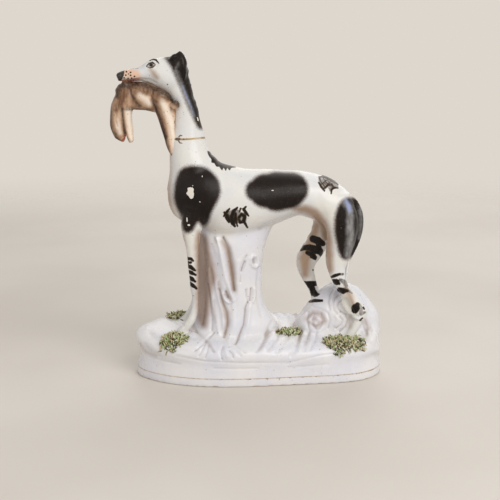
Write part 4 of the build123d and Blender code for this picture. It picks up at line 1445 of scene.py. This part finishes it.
# Noise patterns: scale, detail and roughness of the noise, and the part of it that is drawn out
patterns = {
    "crazeAreas": {"noise": (22.0, 2.0, 0.5), "range": (0.45, 0.62)},
    "gloss": {"noise": (130.0, 3.0, 0.5), "range": (0.3, 0.75)},
    "grains": {"noise": (780.0, 3.0, 0.7), "range": (0.56, 0.7)},
    "grainAreas": {"noise": (60.0, 2.0, 0.5), "range": (0.4, 0.62, 0.12, 0.75)},
    "flecks": {"noise": (1300.0, 2.0, 0.5), "range": (0.56, 0.68)},
    "grassMottle": {"noise": (420.0, 3.0, 0.5), "range": (0.35, 0.65)},
    "clayStain": {"noise": (34.0, 5.0, 0.6), "range": (0.42, 0.66)},
    "clayDust": {"noise": (260.0, 4.0, 0.5), "range": (0.56, 0.7)},
    "floorMottle": {"noise": (3.0, 3.0, 0.5), "range": (0.35, 0.65)},
}


def patternNode(tree, place, name):
    pattern = patterns[name]
    return rampNode(tree, noiseNode(tree, place, *pattern["noise"]), *pattern["range"])


def bumpInto(tree, shader, height, distance, strength):
    bump = tree.nodes.new("ShaderNodeBump")
    bump.inputs["Distance"].default_value = distance
    bump.inputs["Strength"].default_value = strength
    feed(tree, bump.inputs["Height"], height)
    feed(tree, shader.inputs["Normal"], bump.outputs["Normal"])


def setShader(shader, values):
    # Values that are the same all over the piece
    for socketName, value in values.items():
        shader.inputs[socketName].default_value = value


def startMaterial(name):
    material = bpy.data.materials.new(name)
    material.use_nodes = True
    tree = material.node_tree
    shader = next(node for node in tree.nodes if node.type == "BSDF_PRINCIPLED")
    place = tree.nodes.new("ShaderNodeTexCoord").outputs["Object"]
    return material, tree, shader, place


def makeBrushEdge():
    # Turns a painted layer's depth into a mask with a hand-laid edge
    inputs = {"Place": None, "Depth": 0.0, "Softness": 0.3, "Raggedness": 0.3, "Grain": 900.0}
    group, source, result = newGroup("brushEdge", inputs, ["Mask"])
    wobble = noiseNode(group, source["Place"], source["Grain"], detail=3.0, roughness=0.6)
    wobble = spanNode(group, wobble, 2.0, -1.0)
    depth = spanNode(group, wobble, source["Raggedness"], source["Depth"])
    low = timesNode(group, source["Softness"], -1.0)
    feed(group, result["Mask"], rampNode(group, depth, low, source["Softness"]))
    return group


# Scales of the patterns in the glaze, and how much each of them counts
glazeUnevenness = {
    "mottleRange": (0.3, 0.7),
    "speckAreas": 30.0,
    "speckAreaShare": 0.16,
    "speckEdge": (0.08, 0.14),
    "crazeScale": 150.0,
    "crazeWidth": 0.03,
    "crazeBend": 160.0,
    "crazeBendBy": 0.004,
    "lumps": (110.0, 3.0, 0.45),
    "grain": (900.0, 1.0),
    "grainShare": 0.06,
}


def makeGlazeSkin():
    # The glaze's own unevenness: mottling, tiny specks, pooled lumps and fine crazing
    inputs = {"Place": None, "Mottle Scale": 45.0, "Speck Scale": 420.0, "Speck Cut": 0.74}
    outputs = ["Mottle", "Speck", "Craze", "Gloss", "Height"]
    group, source, result = newGroup("glazeSkin", inputs, outputs)
    values, place = glazeUnevenness, source["Place"]
    mottle = noiseNode(group, place, source["Mottle Scale"], detail=4.0, roughness=0.55)
    feed(group, result["Mottle"], rampNode(group, mottle, *values["mottleRange"]))
    # specks are thicker in some parts than in others
    speck = noiseNode(group, place, source["Speck Scale"], detail=1.0)
    areas = noiseNode(group, place, values["speckAreas"])
    speck = spanNode(group, areas, values["speckAreaShare"], speck)
    low, high = (mathNode(group, "ADD", source["Speck Cut"], edge) for edge in values["speckEdge"])
    feed(group, result["Speck"], rampNode(group, speck, low, high))
    # crazing runs along the edges of bent cells, in some parts only
    shifted = group.nodes.new("ShaderNodeVectorMath")
    shifted.operation = "MULTIPLY_ADD"
    feed(group, shifted.inputs[0], noiseNode(group, place, values["crazeBend"]))
    shifted.inputs[1].default_value = [values["crazeBendBy"]] * 3
    feed(group, shifted.inputs[2], place)
    crack = group.nodes.new("ShaderNodeTexVoronoi")
    crack.feature = "DISTANCE_TO_EDGE"
    crack.inputs["Scale"].default_value = values["crazeScale"]
    feed(group, crack.inputs["Vector"], shifted.outputs[0])
    line = rampNode(group, crack.outputs["Distance"], 0.0, values["crazeWidth"], 1.0, 0.0)
    feed(group, result["Craze"], timesNode(group, line, patternNode(group, place, "crazeAreas")))
    feed(group, result["Gloss"], patternNode(group, place, "gloss"))
    lumps = noiseNode(group, place, *values["lumps"])
    grain = noiseNode(group, place, *values["grain"])
    feed(group, result["Height"], spanNode(group, grain, values["grainShare"], lumps))
    return group


def makeStreak():
    # Thin and thick places where a brush ran dry
    group, source, result = newGroup("brushStreak", {"Place": None, "Scale": 300.0}, ["Streak"])
    along = (1.0, 1.0, 0.28)
    fine = noiseNode(group, source["Place"], source["Scale"], detail=4.0, roughness=0.65, stretch=along)
    feed(group, result["Streak"], rampNode(group, fine, 0.32, 0.68))
    return group


# Finishes

brushEdge = makeBrushEdge()
glazeSkin = makeGlazeSkin()
brushStreak = makeStreak()

# The edge of each painted layer: its softness and raggedness in millimetres, and its grain's fineness
layerEdges = {
    "softBlack": (2.3, 1.5, 950.0),
    "softGrey": (2.6, 1.4, 420.0),
    "chip": (0.08, 0.3, 1200.0),
    "brushBlack": (0.2, 0.62, 1000.0),
    "brushGrey": (0.5, 0.7, 1100.0),
    "warm": (3.2, 1.4, 90.0),
    "nose": (0.4, 0.5, 900.0),
    "blush": (2.6, 1.0, 300.0),
    "red": (0.3, 0.4, 700.0),
    "gilt": (0.2, 0.2, 900.0),
    "buckle": (0.25, 0.3, 900.0),
    "blueSheen": (1.6, 0.8, 500.0),
    "hareDark": (2.0, 0.9, 500.0),
    "hareTan": (3.6, 1.6, 260.0),
    "harePale": (2.4, 0.9, 300.0),
    "hareRed": (0.3, 0.3, 700.0),
}


def markMask(tree, place, layerName):
    softness, raggedness, grain = layerEdges[layerName]
    return useGroup(tree, brushEdge, {
        "Place": place,
        "Depth": layerValue(tree, layerName),
        "Softness": softness,
        "Raggedness": raggedness,
        "Grain": grain,
    })["Mask"]


# Colours and how strongly each is laid on. Worn, rough and coat are pairs: what a pattern adds at most, and
# what is there without it. Thick is the depth inside its edge, in millimetres, at which paint begins to
# cover and covers fully. A range is the part that is drawn out, and the values that it is drawn out to
whiteGlaze = {
    "body": tone(229, 226, 219),
    "bodyCool": tone(222, 222, 223),
    # glaze pooled thick in the hollows, darkened further as painted shade there
    "poolAndShade": tone(150, 124, 98),
    "poolAndShadeRange": (0.25, 1.6, 0.0, 0.55),
    # painted shade, laid over the glaze where the figure lies in shade
    "warm": tone(154, 116, 80),
    "paintedShadeShare": 0.8,
    "speck": tone(120, 92, 62),
    "speckShare": 0.5,
    "craze": tone(190, 176, 156),
    "crazeShare": 0.14,
    "black": tone(12, 5, 2),
    "blackThin": tone(74, 54, 46),
    "blackThick": (-0.6, 3.6),
    "blackSpeck": tone(84, 62, 44),
    "blackSheen": tone(34, 21, 18),
    "sheenShare": 0.35,
    # painted sheen on the black
    "sheenGreyTone": tone(152, 150, 150),
    "sheenGreyWorn": (0.5, 0.48),
    # painted reflection of blue light on the black
    "sheenBlue": tone(150, 162, 204),
    "sheenBlueWorn": (0.5, 0.4),
    "brush": tone(12, 8, 7),
    "brushThin": tone(76, 56, 36),
    "brushThick": (-0.2, 1.1),
    "fleckShare": 0.6,
    "greyWash": tone(78, 70, 62),
    "washWorn": (0.45, 0.5),
    "chip": tone(232, 226, 216),
    "blush": tone(228, 176, 136),
    "blushShare": 0.72,
    "nose": tone(52, 46, 42),
    "noseGrey": tone(112, 106, 102),
    "noseShare": 0.8,
    "red": tone(178, 80, 52),
    "redShare": 0.75,
    "gilt": tone(166, 138, 96),
    "giltPale": tone(182, 162, 130),
    "giltWear": 150.0,
    "giltWornRange": (0.28, 0.46, 0.65, 1.0),
    "giltPaleRange": (0.36, 0.56),
    "giltMetal": 0.3,
    "buckle": tone(92, 66, 44),
    "buckleShare": 0.9,
    "skin": {"Mottle Scale": 38.0, "Speck Scale": 430.0, "Speck Cut": 0.735},
    "streakScale": 260.0,
    "rough": (0.14, 0.2),
    "roughPaint": 0.12,
    "roughChip": 0.4,
    "roughGilt": 0.1,
    "coat": (-0.18, 0.2),
    "chipDepth": -0.5,
    "brushHeight": 0.12,
    "bump": (0.00035, 0.8),
    "shader": {"Specular IOR Level": 0.22, "Coat Roughness": 0.14},
}


def paintBlack(tree, place, streak, grains, values):
    # Soft black, thinner and browner towards its dusted edge, with fine lighter grains inside
    inner = rampNode(tree, layerValue(tree, "softBlack"), *values["blackThick"])
    black = mixColour(tree, inner, values["blackThin"], values["black"])
    black = washOver(tree, black, streak, values["sheenShare"], values["blackSheen"])
    black = washOver(tree, black, grains, patternNode(tree, place, "grainAreas"), values["blackSpeck"])
    # painted sheen: grey light mirrored on the black
    worn = spanNode(tree, streak, *values["sheenGreyWorn"])
    black = washOver(tree, black, markMask(tree, place, "softGrey"), worn, values["sheenGreyTone"])
    # painted reflection: blue light mirrored on the black
    worn = spanNode(tree, streak, *values["sheenBlueWorn"])
    return washOver(tree, black, markMask(tree, place, "blueSheen"), worn, values["sheenBlue"])


def paintStrokes(tree, place, values):
    # Brushed black, thin at its edges and flecked where the brush ran dry
    thick = rampNode(tree, layerValue(tree, "brushBlack"), *values["brushThick"])
    stroke = mixColour(tree, thick, values["brushThin"], values["brush"])
    flecks = patternNode(tree, place, "flecks")
    return washOver(tree, stroke, flecks, values["fleckShare"], values["brushThin"])


def makeDogGlaze(name, values):
    material, tree, shader, place = startMaterial(name)
    skin = useGroup(tree, glazeSkin, {"Place": place, **values["skin"]})
    streak = useGroup(tree, brushStreak, {"Place": place, "Scale": values["streakScale"]})["Streak"]
    grains = patternNode(tree, place, "grains")
    wear = noiseNode(tree, place, values["giltWear"], detail=3.0)
    soft, brush, chip, gilt = (
        markMask(tree, place, layerName) for layerName in ("softBlack", "brushBlack", "chip", "gilt")
    )
    # the glaze itself
    colour = mixColour(tree, skin["Mottle"], values["body"], values["bodyCool"])
    # glaze pooled thick in the hollows, deepened as painted shade there
    poolAndShade = rampNode(tree, layerValue(tree, "recess"), *values["poolAndShadeRange"])
    colour = mixColour(tree, poolAndShade, colour, values["poolAndShade"])
    # painted shade: tea-brown where the figure lies in shade
    colour = washOver(tree, colour, markMask(tree, place, "warm"), values["paintedShadeShare"], values["warm"])
    colour = washOver(tree, colour, skin["Craze"], values["crazeShare"], values["craze"])
    colour = washOver(tree, colour, skin["Speck"], values["speckShare"], values["speck"])
    # the painting, in the order in which it was laid on
    colour = washOver(tree, colour, markMask(tree, place, "blush"), values["blushShare"], values["blush"])
    colour = mixColour(tree, soft, colour, paintBlack(tree, place, streak, grains, values))
    worn = spanNode(tree, streak, *values["washWorn"])
    colour = washOver(tree, colour, markMask(tree, place, "brushGrey"), worn, values["greyWash"])
    colour = mixColour(tree, brush, colour, paintStrokes(tree, place, values))
    noseTone = washOver(tree, values["nose"], grains, values["noseShare"], values["noseGrey"])
    colour = mixColour(tree, markMask(tree, place, "nose"), colour, noseTone)
    colour = washOver(tree, colour, markMask(tree, place, "red"), values["redShare"], values["red"])
    colour = mixColour(tree, chip, colour, values["chip"])
    gilt = timesNode(tree, gilt, rampNode(tree, wear, *values["giltWornRange"]))
    fresh = rampNode(tree, wear, *values["giltPaleRange"])
    giltTone = mixColour(tree, fresh, values["giltPale"], values["gilt"])
    colour = mixColour(tree, gilt, colour, giltTone)
    colour = washOver(tree, colour, markMask(tree, place, "buckle"), values["buckleShare"], values["buckle"])
    feed(tree, shader.inputs["Base Color"], colour)
    # paint and bare clay are duller than the glaze
    dark = mathNode(tree, "MAXIMUM", soft, brush)
    rough = spanNode(tree, skin["Gloss"], *values["rough"])
    rough = spanNode(tree, dark, values["roughPaint"], rough)
    rough = spanNode(tree, chip, values["roughChip"], rough)
    feed(tree, shader.inputs["Roughness"], spanNode(tree, gilt, values["roughGilt"], rough))
    feed(tree, shader.inputs["Metallic"], timesNode(tree, gilt, values["giltMetal"]))
    feed(tree, shader.inputs["Coat Weight"], spanNode(tree, dark, *values["coat"]))
    setShader(shader, values["shader"])
    height = spanNode(tree, chip, values["chipDepth"], skin["Height"])
    height = spanNode(tree, brush, values["brushHeight"], height)
    bumpInto(tree, shader, height, *values["bump"])
    return material


# The ground's white is cooler; the pooled glaze and painted shade in its folds begin sooner, and its painted
# shade is darker
groundGlaze = dict(
    whiteGlaze,
    body=tone(230, 228, 228),
    bodyCool=tone(221, 221, 229),
    poolAndShade=tone(150, 132, 114),
    poolAndShadeRange=(0.15, 1.3, 0.0, 0.6),
    warm=tone(138, 102, 68),
    paintedShadeShare=0.72,
)

hareGlaze = {
    "body": tone(214, 182, 154),
    "bodyWarm": tone(196, 158, 128),
    "tan": tone(102, 66, 38),
    "tanWorn": (0.4, 0.6),
    "dark": tone(42, 20, 8),
    "darkWorn": (0.25, 0.75),
    "pale": tone(246, 232, 216),
    "paleShare": 0.9,
    "poolAndShade": tone(92, 58, 38),
    "poolAndShadeRange": (0.08, 0.9, 0.0, 0.75),
    "red": tone(176, 84, 62),
    "redShare": 0.8,
    "speck": tone(104, 72, 50),
    "speckShare": 0.5,
    "skin": {"Mottle Scale": 90.0, "Speck Scale": 520.0, "Speck Cut": 0.7},
    "streakScale": 420.0,
    "rough": (0.12, 0.32),
    "bump": (0.0003, 0.8),
    "shader": {"Specular IOR Level": 0.3, "Coat Weight": 0.1, "Coat Roughness": 0.24},
}


def makeHareGlaze(name, values):
    material, tree, shader, place = startMaterial(name)
    skin = useGroup(tree, glazeSkin, {"Place": place, **values["skin"]})
    streak = useGroup(tree, brushStreak, {"Place": place, "Scale": values["streakScale"]})["Streak"]
    colour = mixColour(tree, skin["Mottle"], values["body"], values["bodyWarm"])
    # tan on the back, and painted shade in the folds
    worn = spanNode(tree, streak, *values["tanWorn"])
    colour = washOver(tree, colour, markMask(tree, place, "hareTan"), worn, values["tan"])
    colour = washOver(tree, colour, markMask(tree, place, "harePale"), values["paleShare"], values["pale"])
    # painted shade between the folds, with the glaze pooled there
    poolAndShade = rampNode(tree, layerValue(tree, "recess"), *values["poolAndShadeRange"])
    colour = mixColour(tree, poolAndShade, colour, values["poolAndShade"])
    # the dark back, and painted shade on the far hind leg, the head's edge and the folds
    worn = spanNode(tree, streak, *values["darkWorn"])
    colour = washOver(tree, colour, markMask(tree, place, "hareDark"), worn, values["dark"])
    colour = washOver(tree, colour, markMask(tree, place, "hareRed"), values["redShare"], values["red"])
    colour = washOver(tree, colour, skin["Speck"], values["speckShare"], values["speck"])
    feed(tree, shader.inputs["Base Color"], colour)
    feed(tree, shader.inputs["Roughness"], spanNode(tree, skin["Gloss"], *values["rough"]))
    setShader(shader, values["shader"])
    bumpInto(tree, shader, skin["Height"], *values["bump"])
    return material


# Each thread's shade picks its colour: every colour with the shade at which it begins
grassClay = {
    "colours": [
        (0.0, tone(158, 172, 110)),
        (0.24, tone(188, 204, 146)),
        (0.42, tone(70, 76, 40)),
        (0.54, tone(206, 190, 150)),
        (0.72, tone(228, 226, 200)),
        (0.84, tone(100, 78, 48)),
        (0.92, tone(158, 172, 110)),
    ],
    "mottle": tone(100, 78, 48),
    "mottleShare": 0.25,
    # painted shade: threads darken towards their roots, deep inside the tuft
    "root": tone(34, 28, 14),
    "rootShadeRange": (0.1, 0.7, 0.9, 0.0),
    "rough": (0.15, 0.32),
    "grain": 1400.0,
    "bump": (0.0002, 0.6),
    "shader": {"Coat Weight": 0.2, "Coat Roughness": 0.2},
}


def makeGrassClay(name, values):
    material, tree, shader, place = startMaterial(name)
    ramp = tree.nodes.new("ShaderNodeValToRGB")
    ramp.color_ramp.interpolation = "CONSTANT"
    stops = ramp.color_ramp.elements
    while len(stops) < len(values["colours"]):
        stops.new(0.5)
    for stop, (position, colour) in zip(stops, values["colours"]):
        stop.position = position
        stop.color = colour
    feed(tree, ramp.inputs["Fac"], layerValue(tree, "threadShade"))
    mottle = patternNode(tree, place, "grassMottle")
    colour = washOver(tree, ramp.outputs["Color"], mottle, values["mottleShare"], values["mottle"])
    # painted shade towards the threads' roots
    rootShadeShare = rampNode(tree, layerValue(tree, "threadTip"), *values["rootShadeRange"])
    feed(tree, shader.inputs["Base Color"], mixColour(tree, rootShadeShare, colour, values["root"]))
    feed(tree, shader.inputs["Roughness"], spanNode(tree, mottle, *values["rough"]))
    setShader(shader, values["shader"])
    bumpInto(tree, shader, noiseNode(tree, place, values["grain"]), *values["bump"])
    return material


bareClay = {
    "body": tone(222, 208, 188),
    "stain": tone(168, 142, 112),
    "stainShare": 0.6,
    "dust": tone(120, 104, 88),
    "dustShare": 0.5,
    "rough": (0.12, 0.72),
    "grain": (900.0, 4.0, 0.65),
    "bump": (0.0004, 0.8),
}


def makeBareClay(name, values):
    material, tree, shader, place = startMaterial(name)
    stain = patternNode(tree, place, "clayStain")
    colour = washOver(tree, values["body"], stain, values["stainShare"], values["stain"])
    dust = patternNode(tree, place, "clayDust")
    colour = washOver(tree, colour, dust, values["dustShare"], values["dust"])
    feed(tree, shader.inputs["Base Color"], colour)
    feed(tree, shader.inputs["Roughness"], spanNode(tree, stain, *values["rough"]))
    bumpInto(tree, shader, noiseNode(tree, place, *values["grain"]), *values["bump"])
    return material


print("finishes")
dogFinish = makeDogGlaze("dogGlaze", whiteGlaze)
groundFinish = makeDogGlaze("groundGlaze", groundGlaze)
hareFinish = makeHareGlaze("hareGlazePaint", hareGlaze)
grassFinish = makeGrassClay("grassClayThreads", grassClay)
clayFinish = makeBareClay("bareClayFoot", bareClay)

for piece, finish, slotName, nodeNames in (
    (dog, dogFinish, "white_glaze", bodyNodes),
    (head, dogFinish, "white_glaze", headNodes),
    (trunk, groundFinish, "white_glaze", trunkNodes),
    (ground, groundFinish, "white_glaze", ["mound_front", "mound_back"]),
    (underside, clayFinish, "bare_clay", ["base_plate"]),
    (hare, hareFinish, "hare_glaze", hareNodes),
):
    piece.data.materials.clear()
    piece.data.materials.append(finish)
    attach(piece, "root")
    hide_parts(*nodeNames)
for nodeName, piece in tufts.items():
    piece.data.materials.append(grassFinish)
    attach(piece, "root")
    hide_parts(nodeName)

# A plain pale floor and soft light
studio = {
    "floorRadius": 1.6,
    "floorDrop": 0.0001,
    "fadeFrom": 0.55,
    "fadeTo": 1.5,
    "floor": tone(222, 216, 208),
    "floorSoft": tone(214, 207, 198),
    "floorRough": 0.6,
    "backdrop": tone(222, 215, 206),
    "worldColour": (1.0, 0.985, 0.965, 1.0),
    "worldLight": 0.44,
    "key": {"place": (0.75, -1.25, 1.15), "size": 1.4, "power": 20.0, "colour": (1.0, 0.99, 0.97)},
    "fill": {"place": (-1.2, -0.8, 0.7), "size": 1.8, "power": 3.2, "colour": (1.0, 0.965, 0.93)},
    "back": {"place": (0.3, 1.2, 1.0), "size": 1.6, "power": 6.0, "colour": (1.0, 0.99, 0.98)},
    "aim": (0.0, 0.0, 0.13),
}


def makeFloor():
    deselectAll()
    bpy.ops.mesh.primitive_circle_add(
        vertices=96,
        radius=studio["floorRadius"],
        fill_type="NGON",
        location=(0, 0, -studio["floorDrop"]),
    )
    floor = bpy.context.object
    floor.name = "floor"
    material, tree, shader, place = startMaterial("paleFloor")
    soft = patternNode(tree, place, "floorMottle")
    feed(tree, shader.inputs["Base Color"], mixColour(tree, soft, studio["floor"], studio["floorSoft"]))
    setShader(shader, {"Roughness": studio["floorRough"]})
    length = tree.nodes.new("ShaderNodeVectorMath")
    length.operation = "LENGTH"
    feed(tree, length.inputs[0], place)
    fade = rampNode(tree, length.outputs["Value"], studio["fadeFrom"], studio["fadeTo"], 1.0, 0.0)
    feed(tree, shader.inputs["Alpha"], fade)
    floor.data.materials.append(material)


def makeLight(name, values):
    bpy.ops.object.light_add(type="AREA", location=values["place"])
    lamp = bpy.context.object
    lamp.name = name
    lamp.data.shape = "DISK"
    lamp.data.size = values["size"]
    lamp.data.energy = values["power"]
    lamp.data.color = values["colour"]
    aim = Vector(studio["aim"]) - Vector(values["place"])
    lamp.rotation_euler = aim.to_track_quat("-Z", "Y").to_euler()


def makeWorld():
    # The backdrop's colour where it is seen or mirrored, and a softer light everywhere else
    world = bpy.data.worlds.new("studioWorld")
    bpy.context.scene.world = world
    world.use_nodes = True
    tree = world.node_tree
    tree.nodes.clear()
    out = tree.nodes.new("ShaderNodeOutputWorld")
    light = tree.nodes.new("ShaderNodeBackground")
    light.inputs["Color"].default_value = studio["worldColour"]
    light.inputs["Strength"].default_value = studio["worldLight"]
    seen = tree.nodes.new("ShaderNodeBackground")
    seen.inputs["Color"].default_value = studio["backdrop"]
    seen.inputs["Strength"].default_value = 1.0
    path = tree.nodes.new("ShaderNodeLightPath")
    shown = mathNode(tree, "MAXIMUM", path.outputs["Is Camera Ray"], path.outputs["Is Glossy Ray"])
    shown = mathNode(tree, "MAXIMUM", shown, path.outputs["Is Transmission Ray"])
    mix = tree.nodes.new("ShaderNodeMixShader")
    feed(tree, mix.inputs["Fac"], shown)
    tree.links.new(light.outputs[0], mix.inputs[1])
    tree.links.new(seen.outputs[0], mix.inputs[2])
    tree.links.new(mix.outputs[0], out.inputs["Surface"])


print("studio")
makeFloor()
for lampName in ("key", "fill", "back"):
    makeLight(lampName + "Lamp", studio[lampName])
makeWorld()
bpy.context.scene.view_settings.view_transform = "Standard"

print("finish")
